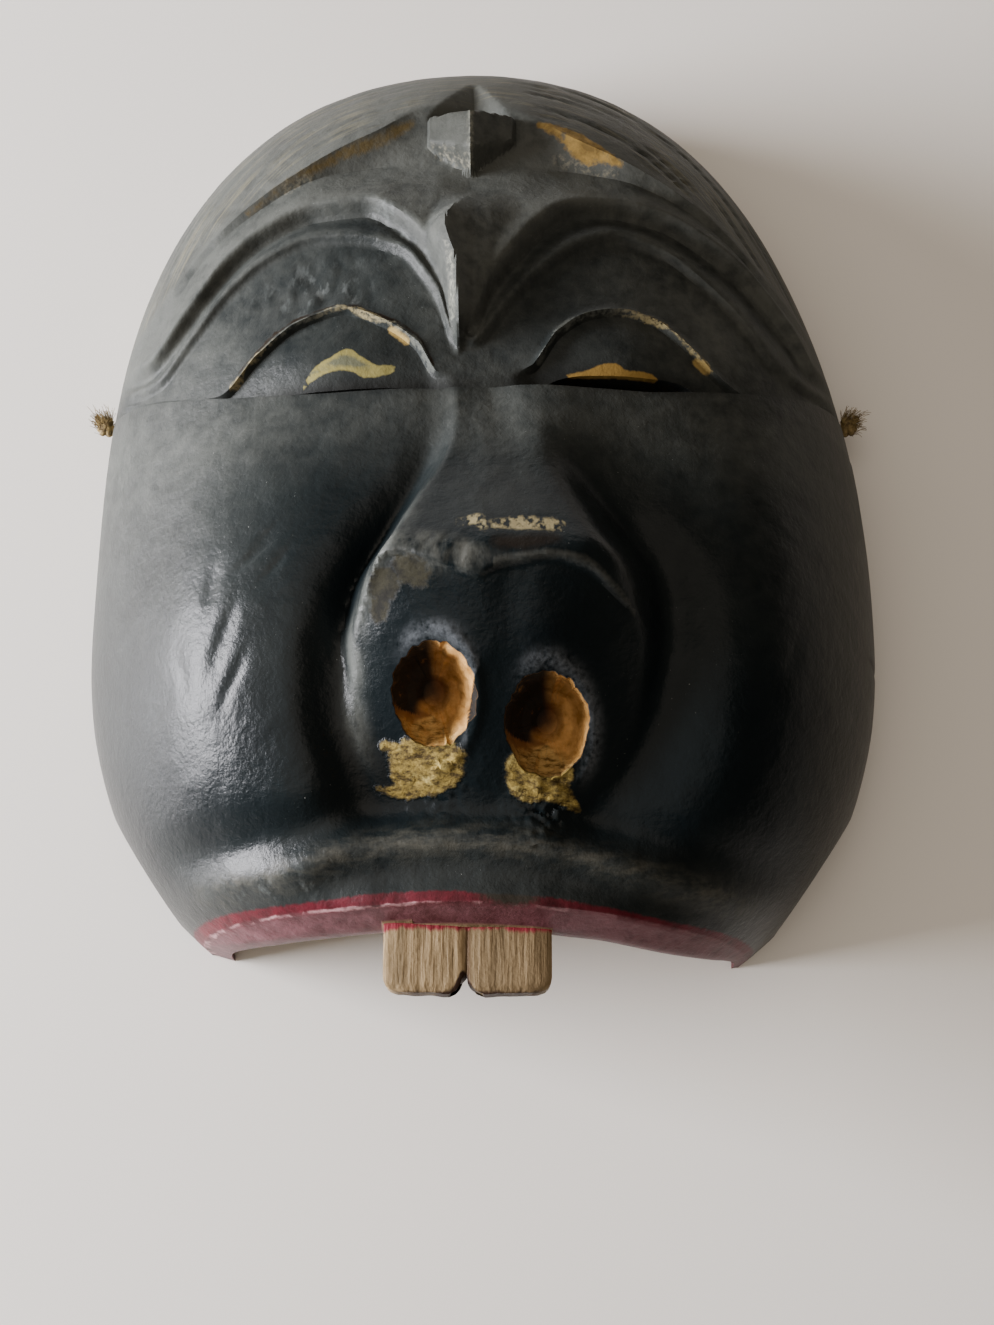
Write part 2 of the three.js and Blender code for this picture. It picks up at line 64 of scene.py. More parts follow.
camera_data = bpy.data.cameras.new("camera")
camera = bpy.data.objects.new("camera", camera_data)
bpy.context.scene.collection.objects.link(camera)
bpy.context.scene.camera = camera
camera.location = (0.0026, -0.1304, 0.3392)
camera.rotation_euler = Vector((0, 0.2924, -0.9563)).to_track_quat("-Z", "Y").to_euler()
camera_data.lens = 48.9
camera_data.sensor_width = 36
camera_data.clip_start = 0.01


# Cord
# Three-strand twine from knot to knot: through the side walls and in a loose bend on the
# table inside the hollow. Its path repeats the route of the part. Dull jute.

def linear(code):
    """Linear colour with alpha from an sRGB hex code."""
    parts = [int(code[i:i + 2], 16) / 255 for i in (1, 3, 5)]
    return (*[c / 12.92 if c <= 0.04045 else ((c + 0.055) / 1.055) ** 2.4 for c in parts], 1)


def add(tree, kind, inputs=(), **settings):
    """A shader or geometry node: settings by name, inputs by socket name or number."""
    made = tree.nodes.new(kind)
    for name, value in settings.items():
        setattr(made, name, value)
    for key, value in dict(inputs).items():
        socket = made.inputs[key]
        if isinstance(value, bpy.types.NodeSocket):
            tree.links.new(value, socket)
        else:
            socket.default_value = value
    return made


def calc(tree, operation, a, b=0.0, clamp=False):
    """Output of a Math node."""
    return add(tree, "ShaderNodeMath", {0: a, 1: b}, operation=operation, use_clamp=clamp).outputs[0]


def attribute(tree, name):
    """Output of a float attribute of the mesh."""
    return add(tree, "ShaderNodeAttribute", attribute_name=name).outputs["Fac"]


def noise(tree, place, scale, detail=3.0, rough=0.55, stretch=(1, 1, 1)):
    """Noise from 0 to 1 on Object coordinates, stretched along an axis where wanted."""
    mapped = add(tree, "ShaderNodeMapping", {"Vector": place, "Scale": stretch})
    return add(tree, "ShaderNodeTexNoise", {
        "Vector": mapped.outputs[0], "Scale": scale, "Detail": detail, "Roughness": rough,
    }).outputs["Fac"]


def step(tree, value, low, high):
    """Value mapped from low..high to 0..1, clamped."""
    return add(tree, "ShaderNodeMapRange", {
        "Value": value, "From Min": low, "From Max": high}, clamp=True).outputs[0]


def blend(tree, share, a, b):
    """Colour a with b over it by share; each is a hex code or a colour socket."""
    a, b = [linear(tone) if isinstance(tone, str) else tone for tone in (a, b)]
    return add(tree, "ShaderNodeMix", {0: share, 6: a, 7: b}, data_type="RGBA").outputs[2]


def relief(tree, shader, strength, distance, height):
    """Bumps of a finish, from a height of 0 to 1 that stands for distance metres."""
    bump = add(tree, "ShaderNodeBump", {"Strength": strength, "Distance": distance, "Height": height})
    tree.links.new(bump.outputs[0], shader.inputs["Normal"])


def material(name):
    """A new material: its tree, its shader and its Object coordinates."""
    made = bpy.data.materials.new(name)
    made.use_nodes = True
    tree = made.node_tree
    place = add(tree, "ShaderNodeTexCoord").outputs["Object"]
    return made, tree, tree.nodes["Principled BSDF"], place


def piece(name, vertices, faces, finish, smooth_angle=None):
    """A mesh object from points in millimetres."""
    mesh = bpy.data.meshes.new(name)
    mesh.from_pydata((np.asarray(vertices) * MM).tolist(), [], [list(map(int, f)) for f in faces])
    mesh.materials.append(finish)
    mesh.validate()
    if smooth_angle is not None:
        mesh.shade_smooth()
        mesh.set_sharp_from_angle(angle=math.radians(smooth_angle))
    made = bpy.data.objects.new(name, mesh)
    bpy.context.scene.collection.objects.link(made)
    return made


CORD_DIAMETER = 2.5
CORD_REST = CORD_DIAMETER / 2 + 0.2                # height of its axis where it lies
CORD_LEFT, CORD_RIGHT = -73.168, 70.357            # its ends, at the knots
CORD_Y, CORD_Z = 20.1, 8.2                         # middle of the holes
cord_route = np.array([
    (CORD_LEFT, CORD_Y, CORD_Z), (CORD_LEFT + 5, CORD_Y, CORD_Z), (CORD_LEFT + 11, CORD_Y, 8.1),
    (CORD_LEFT + 15, 19.4, 6.6), (CORD_LEFT + 19, 16.8, 3.4), (CORD_LEFT + 24, 12, CORD_REST),
    (-41, 3, CORD_REST), (-34, -8, CORD_REST), (-24, -15, CORD_REST), (-12, -15.5, CORD_REST),
    (-2, -9, CORD_REST), (7, 0, CORD_REST), (17, 5, CORD_REST), (28, 4, CORD_REST),
    (38, 3.4, CORD_REST), (CORD_RIGHT - 24, 8.5, CORD_REST), (CORD_RIGHT - 19, 15.4, 3.2),
    (CORD_RIGHT - 15, 19.2, 6.6), (CORD_RIGHT - 11, CORD_Y, 8.1), (CORD_RIGHT - 5, CORD_Y, CORD_Z),
    (CORD_RIGHT, CORD_Y, CORD_Z),
])


def through(points, steps):
    """A smooth curve through the points: centripetal Catmull-Rom, steps for each span."""
    ends = np.vstack([2 * points[0] - points[1], points, 2 * points[-1] - points[-2]])
    curve = []
    for k in range(len(points) - 1):
        p = ends[k:k + 4]
        knots = np.concatenate([[0], np.cumsum(np.linalg.norm(np.diff(p, axis=0), axis=1) ** 0.5)])
        for t in np.linspace(knots[1], knots[2], steps, endpoint=False):
            level = p
            for depth in (1, 2, 3):
                level = [
                    (level[i] * (knots[i + depth] - t) + level[i + 1] * (t - knots[i]))
                    / (knots[i + depth] - knots[i]) for i in range(4 - depth)
                ]
            curve.append(level[0])
    return np.array([*curve, points[-1]])


def directions(path, nudge=0.0):
    """Unit vectors beside and above a path; a nudge lets the path run straight up."""
    tangent = np.gradient(path, axis=0)
    tangent /= np.linalg.norm(tangent, axis=1)[:, None]
    side = np.cross(tangent, (0.0, 0.0, 1.0)) + nudge
    side /= np.linalg.norm(side, axis=1)[:, None]
    return side, np.cross(side, tangent)


def tube(path, radius, sides):
    """Vertices and faces of a closed tube along a path, of one radius or one for each point."""
    side, rise = directions(path, 1e-9)
    angle = np.linspace(0, 2 * math.pi, sides, endpoint=False)
    radius = np.broadcast_to(radius, len(path))
    ring = (np.cos(angle)[None, :, None] * side[:, None] + np.sin(angle)[None, :, None] * rise[:, None])
    vertices = (path[:, None] + ring * radius[:, None, None]).reshape(-1, 3)
    faces = []
    for k in range(len(path) - 1):
        for i in range(sides):
            j = (i + 1) % sides
            faces.append((k * sides + i, k * sides + j, (k + 1) * sides + j, (k + 1) * sides + i))
    faces.append(tuple(range(sides))[::-1])
    faces.append(tuple((len(path) - 1) * sides + i for i in range(sides)))
    return vertices, faces


def lay_strand(vertices, faces, path, radius):
    """One more strand of twine in the lists of vertices and faces."""
    points, quads = tube(path, radius, 10)
    faces += [tuple(i + len(vertices) for i in quad) for quad in quads]
    vertices += points.tolist()


# Dry plant fibre: pale brown with darker grooves between the strands
jute, jute_tree, jute_shader, jute_place = material("dull_jute")
jute_tone = noise(jute_tree, jute_place, 900, 4)
jute_tree.links.new(
    blend(jute_tree, step(jute_tree, jute_tone, 0.35, 0.7), "#5a4a2e", "#a8925f"),
    jute_shader.inputs["Base Color"])
jute_shader.inputs["Roughness"].default_value = 0.9
relief(jute_tree, jute_shader, 0.5, 0.0003, noise(jute_tree, jute_place, 3200, 2))

STRANDS = 3
STRAND_TURN = 7.5             # millimetres for a full twist
STRAND_REACH, STRAND_RADIUS = 0.24, 0.25           # in diameters of the cord
SPAN_STEPS = 14
cord_path = through(cord_route, SPAN_STEPS)
cord_length = np.concatenate([[0], np.cumsum(np.linalg.norm(np.diff(cord_path, axis=0), axis=1))])
cord_side, cord_rise = directions(cord_path)
cord_vertices, cord_faces = [], []
for strand in range(STRANDS):
    turn = 2 * math.pi * (cord_length / STRAND_TURN + strand / STRANDS)
    wound = cord_path + CORD_DIAMETER * STRAND_REACH * (
        np.cos(turn)[:, None] * cord_side + np.sin(turn)[:, None] * cord_rise)
    lay_strand(cord_vertices, cord_faces, wound, CORD_DIAMETER * STRAND_RADIUS)
cord = piece("tie_cord", cord_vertices, cord_faces, jute, 60)
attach(cord, "root")
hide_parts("cord")


# Mask
# One block of light wood, carved by hand, gouged hollow and painted: black enamel on the
# face, red on the edge of the lip, cream on the teeth. The shape repeats the part's own
# carved lines and heights, with the finer marks of the chisel on top.

def smooth(low, high, value):
    """0 at low and 1 at high, with a soft start and end; low may be the larger."""
    t = np.clip((value - low) / (high - low), 0, 1)
    return t * t * (3 - 2 * t)


def bell(distance, spread):
    """1 on a line or at a spot, falling to 0 within about two spreads."""
    return np.exp(-((distance / spread) ** 2))


def turned(x, y, cx, cy, turn):
    """A place relative to a centre, in axes turned by an angle."""
    return ((x - cx) * math.cos(turn) + (y - cy) * math.sin(turn),
            (y - cy) * math.cos(turn) - (x - cx) * math.sin(turn))


def carved_line(points):
    """A smooth line through a few points, as a function of the first coordinate."""
    px, py = np.array(points, float).T
    pitch = np.diff(py) / np.diff(px)
    a, b = pitch[:-1], pitch[1:]
    total = np.where(a + b == 0, 1, a + b)
    slope = np.concatenate([pitch[:1], np.where(a * b <= 0, 0, 2 * a * b / total), pitch[-1:]])

    def line(x):
        x = np.asarray(x, float)
        i = np.clip(np.searchsorted(px, x, side="right") - 1, 0, len(px) - 2)
        span = px[i + 1] - px[i]
        t = (x - px[i]) / span
        inside = (
            (1 + 2 * t) * (1 - t) ** 2 * py[i] + t * (1 - t) ** 2 * span * slope[i]
            + t * t * (3 - 2 * t) * py[i + 1] + t * t * (t - 1) * span * slope[i + 1])
        before = py[0] + slope[0] * (x - px[0])
        after = py[-1] + slope[-1] * (x - px[-1])
        return np.where(x <= px[0], before, np.where(x >= px[-1], after, inside))
    return line


def drift(x, y, size, seed):
    """Smooth random waves from -1 to 1, about size millimetres apart."""
    table = np.random.default_rng(seed).uniform(-1, 1, (64, 64))
    u, v = np.asarray(x) / size + 31.7, np.asarray(y) / size + 29.3
    i, j = np.floor(u).astype(int), np.floor(v).astype(int)
    s, t = u - i, v - j
    s, t = s * s * (3 - 2 * s), t * t * (3 - 2 * t)
    a, b = table[i % 64, j % 64], table[(i + 1) % 64, j % 64]
    c, d = table[i % 64, (j + 1) % 64], table[(i + 1) % 64, (j + 1) % 64]
    return (a * (1 - s) + b * s) * (1 - t) + (c * (1 - s) + d * s) * t


def scallops(x, y, size, seed):
    """Hollow cuts of a gouge: 0 in the middle of each cut, up to about 1 where cuts meet."""
    offset = np.random.default_rng(seed).uniform(-0.36, 0.36, (64, 64, 2))
    u, v = np.asarray(x) / size, np.asarray(y) / size
    i, j = np.floor(u).astype(int), np.floor(v).astype(int)
    nearest = np.full(np.shape(u), 9.0)
    for di in (-1, 0, 1):
        for dj in (-1, 0, 1):
            moved = offset[(i + di) % 64, (j + dj) % 64]
            du = i + di + 0.5 + moved[..., 0] - u
            dv = j + dj + 0.5 + moved[..., 1] - v
            nearest = np.minimum(nearest, du * du + dv * dv)
    return nearest


# Sizes of the part, x to the viewer's right, y up the face and z out of it
RIM_HEIGHT = 5
LIP_THICKNESS = 7.2
WALL = 10
RIM_WIDTH = 9
TOOTH_WIDTH, TOOTH_THICKNESS = 13.9, 5.6
SLIT_LEFT, SLIT_RIGHT, SLIT_LENGTH, SLIT_START = 2.6, 4.4, 29, 9.5
NOSTRIL_WIDTH, NOSTRIL_DEPTH, NOSTRIL_PIT, NOSTRIL_LONG = 13.8, 10, 3.4, 1.25
NOSTRIL_TILT = 0.55           # share of the slope under the tip that the cups follow
CORD_HOLE = 3.7
CROWN_Y, WIDEST_Y, HALF_WIDTH, CHIN_REACH, MOUTH_Y = 96.7, -25, 75, 74.3, -84
CROWN_POWER, CHIN_POWER, DOME_POWER = 2.35, 2.3, 2.1          # 2 is round, more is squarer
DOME_TOP, DOME_Y, CHIN_RUN, CHIN_FALL = 51, 10, 94, 5
CUT, BROW_CUT = 0.45, 1.0     # half the width of a carved step in plan
STUD_X, STUD_HALF, STUD_FOOT, STUD_TOP, STUD_RISE = -2.3, 7.4, 54, 66.8, 6.4
PARTING_X, PARTING_LOW, PARTING_HIGH, PARTING_DEPTH = -1.8, 66.2, 80.5, 5
LEAF_RISE, HAIR_RISE = 4.2, 2.2
CHEEK_X, CHEEK_Y, CHEEK_RISE, SHELF_RISE = 46, -38, 8.6, 3.2
FURROW_DEPTH = 2.0
NOSTRILS = ((-7.9, -52), (10.9, -56.2))
NOSE_ROOT, NOSE_TIP, NOSE_FOOT, NOSE_FLANK = 4.5, -32.5, -66, 2.8
TIP_HEIGHT, FOOT_HEIGHT, BRIDGE_HEIGHT, BRIDGE_RISE = 79.6, 53.2, 57.4, 21.4
CRACK_START, CRACK_WIDTH, CRACK_DEPTH = 69.5, 0.4, 2.2

# The carved lines in plan: y at each x, but x at each y for the middle of the face, the
# leaf's crest and the widths of the leaf and the nose
middle = carved_line([[-97, -2.1], [-76, -1.6], [-60, 1.8], [-34, 2.8], [-5, 2.6], [12, -0.6],
                      [30, -3.6], [60, -2.3], [97, -4]])
mouth_line = carved_line([[-60, -84.4], [-46, -84], [-30, -83.4], [-5, -82.6], [18, -83.8],
                          [33, -85.6], [46, -86.4], [60, -86.8]])
roll_line = carved_line([[-60, -79.6], [-42, -78.5], [-32, -77.6], [-21, -74.2], [-5, -72.6],
                         [10, -73.8], [28, -78], [44, -81], [60, -81.6]])
nose_base = carved_line([[-70, -60], [-28, -65], [0, -66.5], [26, -68], [70, -60]])
ledge = carved_line([[-74, 16.4], [-64, 12.4], [-50.4, 7.8], [-40.7, 5.7], [-24.5, 4.4], [1.4, 4.8],
                     [27.4, 5.2], [38, 6.5], [47.7, 8.4], [60.8, 12.6], [74, 17]])
lid = carved_line([[-75, 19.6], [-60, 13.4], [-47.5, 10], [-40, 16], [-32.7, 21.3], [-25.5, 23.4],
                   [-17.2, 20], [-11.8, 15.7], [-7.8, 9.7], [0.5, 8.6], [8.7, 11], [13.7, 17.9],
                   [19.2, 21.9], [24.6, 23.2], [30.1, 22.4], [35.5, 18.8], [42.5, 12.6], [48, 10.4],
                   [60, 14.4], [75, 19.2]])
fold = carved_line([[-75, 23], [-68, 18.4], [-61, 17], [-54.1, 23.2], [-47.6, 31], [-40.1, 36.8],
                    [-31, 39.9], [-24.1, 39.2], [-14.9, 35.6], [-8.1, 25.8], [-4.9, 16.2],
                    [-1.8, 15.6], [4.9, 23.7], [10.3, 30.3], [17.6, 37], [25.1, 40], [32.6, 38.6],
                    [40, 33.8], [47.5, 27.2], [54.6, 18.8], [61, 17.2], [68, 18.2], [75, 22.6]])
brow = carved_line([[-75, 27.4], [-69, 22.6], [-62.6, 21], [-53.5, 29.9], [-46.9, 38], [-40.1, 42.8],
                    [-30.9, 46.1], [-22, 46], [-14.9, 41.4], [-10.2, 35.6], [-7.4, 30], [-4.9, 20],
                    [-1.8, 18.8], [1.7, 27], [5.8, 33.8], [11.2, 41], [17.5, 45.4], [25.1, 46.6],
                    [32.7, 46], [40.3, 43], [48, 38.4], [57.7, 28.3], [63, 22], [69, 22.4],
                    [75, 26.8]])
hair_foot = carved_line([[-75, 30.4], [-68, 27], [-61, 30], [-52, 41.4], [-42.5, 48.6], [-33, 54],
                         [-26, 56.2], [-17, 57.2], [-9, 57.2], [-2, 54.8], [7, 56], [15, 56],
                         [24, 54.6], [33.2, 51.6], [43, 46], [54, 35], [61.5, 29], [69, 26.4],
                         [75, 30]])
hair_edge = carved_line([[-75, 32.4], [-68, 29.4], [-62, 32.8], [-52, 43.4], [-42.5, 50.6],
                         [-33, 56.4], [-27.5, 59.6], [-19.4, 64], [-12, 69.3], [-2, 71], [5, 69.4],
                         [9.2, 67], [17.2, 61.6], [26, 57.6], [33.2, 54.2], [43, 48.2], [54, 37.4],
                         [61.5, 31.6], [69, 28.8], [75, 32]])
leaf_crest = carved_line([[14, -4.2], [29, -4.6], [38, -6.6], [47, -2.4]])
leaf_left = carved_line([[14, 0.6], [24, 1.6], [34, 3.4], [41, 3.6], [47, 5]])
leaf_right = carved_line([[14, 0.6], [23, 3.6], [34, 8], [42, 12], [47, 9]])
nose_half = carved_line([[-70, 14], [-60, 20.4], [-50, 23.4], [-43, 23.4], [-35, 20.6], [-27, 16],
                         [-20, 13.2], [-8, 8], [5, 5.6]])


def lean(y):
    """How far the middle of the outline leans to the left, higher up."""
    return -2.8 * smooth(-20, 60, y)


def half_at(y, reach=0.0):
    """Half the width of the outline, or of a line that lies reach inside it."""
    upper = y > WIDEST_Y
    power = np.where(upper, CROWN_POWER, CHIN_POWER)
    length = np.where(upper, CROWN_Y - reach - WIDEST_Y, CHIN_REACH - reach)
    t = np.minimum(1, np.abs(y - WIDEST_Y) / length)
    return (HALF_WIDTH - reach) * (1 - t ** power) ** (1 / power)


def share_across(x, y):
    """0 on the middle of the outline and 1 on the outline, straight across."""
    return np.minimum(1, np.abs(x - lean(y)) / np.maximum(half_at(y), 0.001))


def dome_at(x, y):
    """Height of the plain dome that the face is carved on."""
    t = np.clip((y - DOME_Y) / (CROWN_Y - DOME_Y), 0, 1)
    low = DOME_TOP - CHIN_FALL * ((DOME_Y - y) / CHIN_RUN) ** 2
    top = np.where(y > DOME_Y, DOME_TOP * np.sqrt(1 - t * t), low)
    return RIM_HEIGHT + top * (1 - share_across(x, y) ** DOME_POWER) ** (1 / DOME_POWER)


def length_up(line, x):
    """Millimetres in y for one millimetre square to a line, where the line slopes."""
    return np.minimum(2.2, np.hypot(1, (line(x + 0.2) - line(x - 0.2)) / 0.4))


def beyond(line, x, y):
    """Millimetres above a line, square to it."""
    return (y - line(x)) / length_up(line, x)


def above(line, x, y, cut=CUT):
    """0 below a line and 1 above it, over a step of twice the cut."""
    return np.clip(0.5 + beyond(line, x, y) / (2 * cut), 0, 1)


def higher(a, b, soft):
    """The larger of two heights, with a soft valley where they meet."""
    return np.logaddexp(a / soft, b / soft) * soft


def upper_face(x, y):
    """Brows, folds and lids, each a terrace above the one below."""
    side = np.abs(x - middle(y))
    edge = 1 - smooth(0.86, 0.99, share_across(x, y))
    socket = bell(side - 27, 15) * bell(y - 15, 9)
    over_brow = smooth(-1.9, 1.5, beyond(brow, x, y))
    over_fold = smooth(-1.2, 1.0, beyond(fold, x, y))
    band = smooth(0, 1, (y - fold(x)) / np.maximum(1, brow(x) - fold(x)))
    brows = (1.2 * bell(np.maximum(0, beyond(brow, x, y)), 5) * over_brow
             - (1 - over_brow) * (1.2 + 1.8 * band))
    folds = -1.8 * (1 - over_fold)
    lids = (3 * socket * (1 - over_fold)
            - 1.5 * (1 - above(lid, x, y)) * smooth(5, 10, side))
    return (brows + folds + lids) * edge


def frown_leaf(x, y):
    """The pointed leaf of the frown, between the brows."""
    d = x - leaf_crest(y)
    share = np.abs(d) / np.where(d < 0, leaf_left(y), leaf_right(y))
    return LEAF_RISE * np.maximum(0, 1 - share) * (1 - smooth(40, 48.5, y)) * smooth(13, 19, y)


def diadem(x, y):
    """The sunk strip above the brows and the raised edge of the hair."""
    side = np.abs(x - STUD_X)
    strength = 1 - 0.75 * smooth(24, 58, side)
    edge = 1 - smooth(0.88, 0.99, share_across(x, y))
    foot = hair_foot(x)
    share = np.clip((y - foot) / (hair_edge(x) - foot), 0, 1)
    strip = -2.4 * bell(np.maximum(0, foot - y), 7) * (1 - smooth(16, 34, side)) - 0.5
    hair = HAIR_RISE * bell(np.maximum(0, y - hair_edge(x)), 16)
    return (strip * (1 - share) * smooth(-14, -4, y - foot) + hair * share) * strength * edge


def stud(x, y):
    """The roof-shaped stud on the forehead."""
    side = np.abs(x - STUD_X)
    roof = STUD_RISE * (1 - side / 11)
    rise = np.minimum.reduce([roof, (STUD_TOP - y) * 3, (y - STUD_FOOT - side * 0.8) * 3,
                              (STUD_HALF + 0.8 - side) * 5])
    return np.where(side > STUD_HALF + 0.8, 0, np.maximum(0, rise))


def parting(x, y):
    """The notch above the stud, narrowing to a point at the crown."""
    d = x - PARTING_X
    opening = np.clip((PARTING_HIGH - y) / 14, 0.05, 1)
    flank = np.maximum(0, opening - np.abs(d) / np.where(d < 0, 9.4, 7.4))
    return -PARTING_DEPTH * flank * smooth(PARTING_LOW, 67.6, y) * (1 - smooth(78, PARTING_HIGH, y))


def cheeks(x, y):
    """The puffed cheeks, the shelf they stand on and the furrow left of the nose."""
    side = np.abs(x - middle(y))
    start = 5 + 20 * smooth(0, -34, y)
    near = smooth(6, 18, middle(y) - x)
    spread = np.where(side < CHEEK_X, 20 + 14 * near, 20)
    puff = CHEEK_RISE * bell(side - CHEEK_X, spread) * bell(y - CHEEK_Y, 33)
    furrow = (FURROW_DEPTH * near * bell(side - nose_half(y) - 4, 4)
              * smooth(-10, -30, y) * smooth(-74, -62, y))
    shelf = SHELF_RISE * smooth(-88, -62, y) * smooth(start - 10, start + 9, side)
    raised = shelf + puff * smooth(start - 6 - 10 * near, start + 14 - 10 * near, side) - furrow
    return raised * (1 - share_across(x, y) ** 7)


def nose(x, y):
    """The bridge, the broad tip, the slope under it with the nostrils, and the flanks."""
    d = x - middle(y)
    side = np.abs(d)
    notch = 0.9 * bell(d - 1.5, 3.5)
    rise = smooth(NOSE_ROOT + 1, NOSE_TIP, y)
    t = np.clip((NOSE_ROOT - y) / (NOSE_ROOT - NOSE_TIP), 0, 1)
    bridge = BRIDGE_HEIGHT + BRIDGE_RISE * t ** 1.3
    run = (y - NOSE_TIP) / (NOSE_FOOT - NOSE_TIP)
    under = (TIP_HEIGHT - notch) * (1 - run) + FOOT_HEIGHT * run - 0.011 * side * side
    tip = -higher(-bridge, -under, 2.2)
    flank = higher(0, side - nose_half(y), 0.25 + 0.9 * smooth(0, 6, d))
    slope = (NOSE_FLANK - 0.9 * smooth(0, 6, d)) * (0.4 + 0.6 * smooth(2, -18, y))
    return tip - slope * flank - 0.004 * side * side * rise


def lips(x, y):
    """The roll of the upper lip, its edge and the hollow above the roll."""
    edge = 1 - smooth(0.8, 0.98, share_across(x, y))
    return (2 * bell(y - roll_line(x), 3.2) + 0.7 * bell(y - mouth_line(x) - 1, 2.5)
            - 1.1 * bell(y - roll_line(x) - 6.5, 3.4)) * edge


def plain_height(x, y):
    """The part's own front, above the back of the rim."""
    dome = dome_at(x, y)
    eyes = dome + upper_face(x, y) + frown_leaf(x, y) + diadem(x, y) + stud(x, y) + parting(x, y)
    low_face = dome + cheeks(x, y) + lips(x, y)
    nosed = (y < NOSE_ROOT + 3) & (y > NOSE_FOOT - 8)
    soft = 1.3 + 2.2 * smooth(0, 12, x - middle(y)) + 1.8 * smooth(-24, -8, y)
    low_face = np.where(nosed, higher(low_face, nose(x, y), soft), low_face)
    t = above(ledge, x, y)
    return low_face * (1 - t) + eyes * t


def ring_share(x, y):
    """0 in the middle of the dome, 1 on its outline: the hair grooves follow it."""
    x_part = np.abs(x - lean(y)) / HALF_WIDTH
    y_part = np.abs(y - WIDEST_Y) / (CROWN_Y - WIDEST_Y)
    return (x_part ** CROWN_POWER + y_part ** CROWN_POWER) ** (1 / CROWN_POWER)


HAIR_LINES = (0.775, 0.80, 0.825, 0.848, 0.868, 0.888, 0.906, 0.924, 0.94, 0.956)
# The edge of the nose tip, an M, from the left nostril wing to the right one
tip_edge = carved_line([[-24, -36], [-17.5, -32], [-13, -31.2], [-8.4, -32.9], [-4.6, -34.1],
                        [-0.3, -35.1], [3, -34], [6.7, -33.4], [10.9, -32.7], [16.4, -33.5],
                        [19.8, -35.4], [26, -40]])


def marks(x, y):
    """What the chisel, the brush and years of use left on the front: at most about 1 mm."""
    rim = 1 - smooth(0.9, 0.985, share_across(x, y))
    on_cheek = 1 - above(ledge, x, y, 3)
    # Broad cuts of the gouge, softened by paint
    deep = (0.12 + 0.16 * on_cheek) * (scallops(x, y, 8.5, 3) - 0.4)
    deep = deep + 0.09 * (scallops(x, y * 0.6, 3.6, 4) - 0.4)
    deep = deep + 0.24 * drift(x, y, 15, 5) + 0.08 * drift(x, y, 5, 6)
    # Fine lines of the hair, along the edge of the dome, broken and uneven
    over_hair = smooth(0.5, 3, y - hair_edge(x)) * smooth(0, 6, np.abs(x - STUD_X) - 7)
    ring = ring_share(x, y) + 0.005 * drift(x, y, 14, 7)
    for k, groove in enumerate(HAIR_LINES):
        run = smooth(-0.3, 0.3, drift(x, y, 17, 30 + k)) * (0.3 + 0.4 * smooth(-10, 20, x))
        deep = deep - over_hair * run * bell(ring - groove, 0.0045)
    # Nose tip: a small step along the M, with a fibrous lobe above it on the left
    on_nose = 1 - smooth(-2, 1, np.abs(x - middle(y)) - nose_half(y))
    below_tip = np.maximum(0, tip_edge(x) - y)
    deep = deep - 1.0 * on_nose * smooth(0, 0.7, below_tip) * (1 - smooth(3, 12, below_tip))
    lip_of_step = bell(y - tip_edge(x) - 0.6, 0.7) * on_nose * (1 - bell(x + 2, 4.5))
    deep = deep + 0.22 * lip_of_step
    lobe = bell(np.hypot(x + 4, (y + 31.5) * 1.6), 6)
    deep = deep + 0.2 * lobe * drift(x * 0.9 - y * 0.5, y * 0.3 + x * 0.2, 1.2, 8)
    # Worn ridge of the left wing of the nose
    wing = bell(np.abs(x - middle(y)) - nose_half(y) - 0.2, 0.9)
    wing = wing * smooth(-18, -26, y) * smooth(-64, -58, y)
    deep = deep + 0.25 * wing * np.where(x < 0, 1, 0.2)
    # Lids: a raised, cracked edge
    lid_ridge = bell(beyond(lid, x, y) - 0.4, 0.55) * smooth(7, 11, np.abs(x - middle(y)))
    deep = deep + (0.4 + 0.25 * drift(x, y, 2.3, 12)) * lid_ridge * (1 - smooth(42, 48, np.abs(x)))
    # Dents and scratches of the cheeks: place, length, width, turn and depth
    for cx, cy, long, wide, turn, depth in (
            (-42.5, -40, 5.5, 1.3, 1.25, 0.6), (-45, -31, 4.2, 1.1, 1.4, 0.5),
            (-37.5, -26, 4.6, 0.7, 0.7, 0.5), (-34, -28.5, 3.4, 0.6, 0.9, 0.45),
            (-36, -23, 3.2, 0.6, 0.8, 0.4), (-40.5, -47, 4.4, 1.0, 1.1, 0.5),
            (-50, -44, 3, 0.9, 1.9, 0.4), (-55, -50, 2.6, 1.0, 0.6, 0.3),
            (52, -42, 5, 1.2, 1.2, 0.22), (46, -12, 6, 1.6, 0.5, 0.2)):
        u, v = turned(x, y, cx, cy, turn)
        deep = deep - depth * bell(u, long) * bell(v, wide)
    # Chisel marks on the left lid and along the brow's inner arc
    lid_marks = bell(x + 30, 10) * bell(y - 29, 6)
    deep = deep + 0.62 * lid_marks * drift(x * 0.9 + y * 0.2, y * 0.3 - x * 0.2, 1.3, 9)
    brow_marks = bell(beyond(brow, x, y) + 1.5, 3.4) * bell(x + 14, 9)
    deep = deep + 0.3 * brow_marks * drift(x * 0.35 + y * 0.8, y * 0.2 - x * 0.3, 1.0, 10)
    # Raised grey rims right of the nostrils
    for cx, cy in NOSTRILS:
        u, v = x - cx, (y - cy) / NOSTRIL_LONG
        ring_gap = np.hypot(u, v) - NOSTRIL_WIDTH * 0.55
        deep = deep + 0.55 * bell(ring_gap, 0.9) * smooth(-0.5, 0.6, u / (np.hypot(u, v) + 0.1))
        torn = bell(np.hypot(u * 0.9, v + 8), 4.5)
        deep = deep + 0.65 * torn * drift(x, y * 1.8, 1.1, 13)
    return deep * rim


def crack_line(x, y):
    """Millimetres above the line of the crack in the right rim."""
    return y + 33.4 - 0.1 * (x - 74)


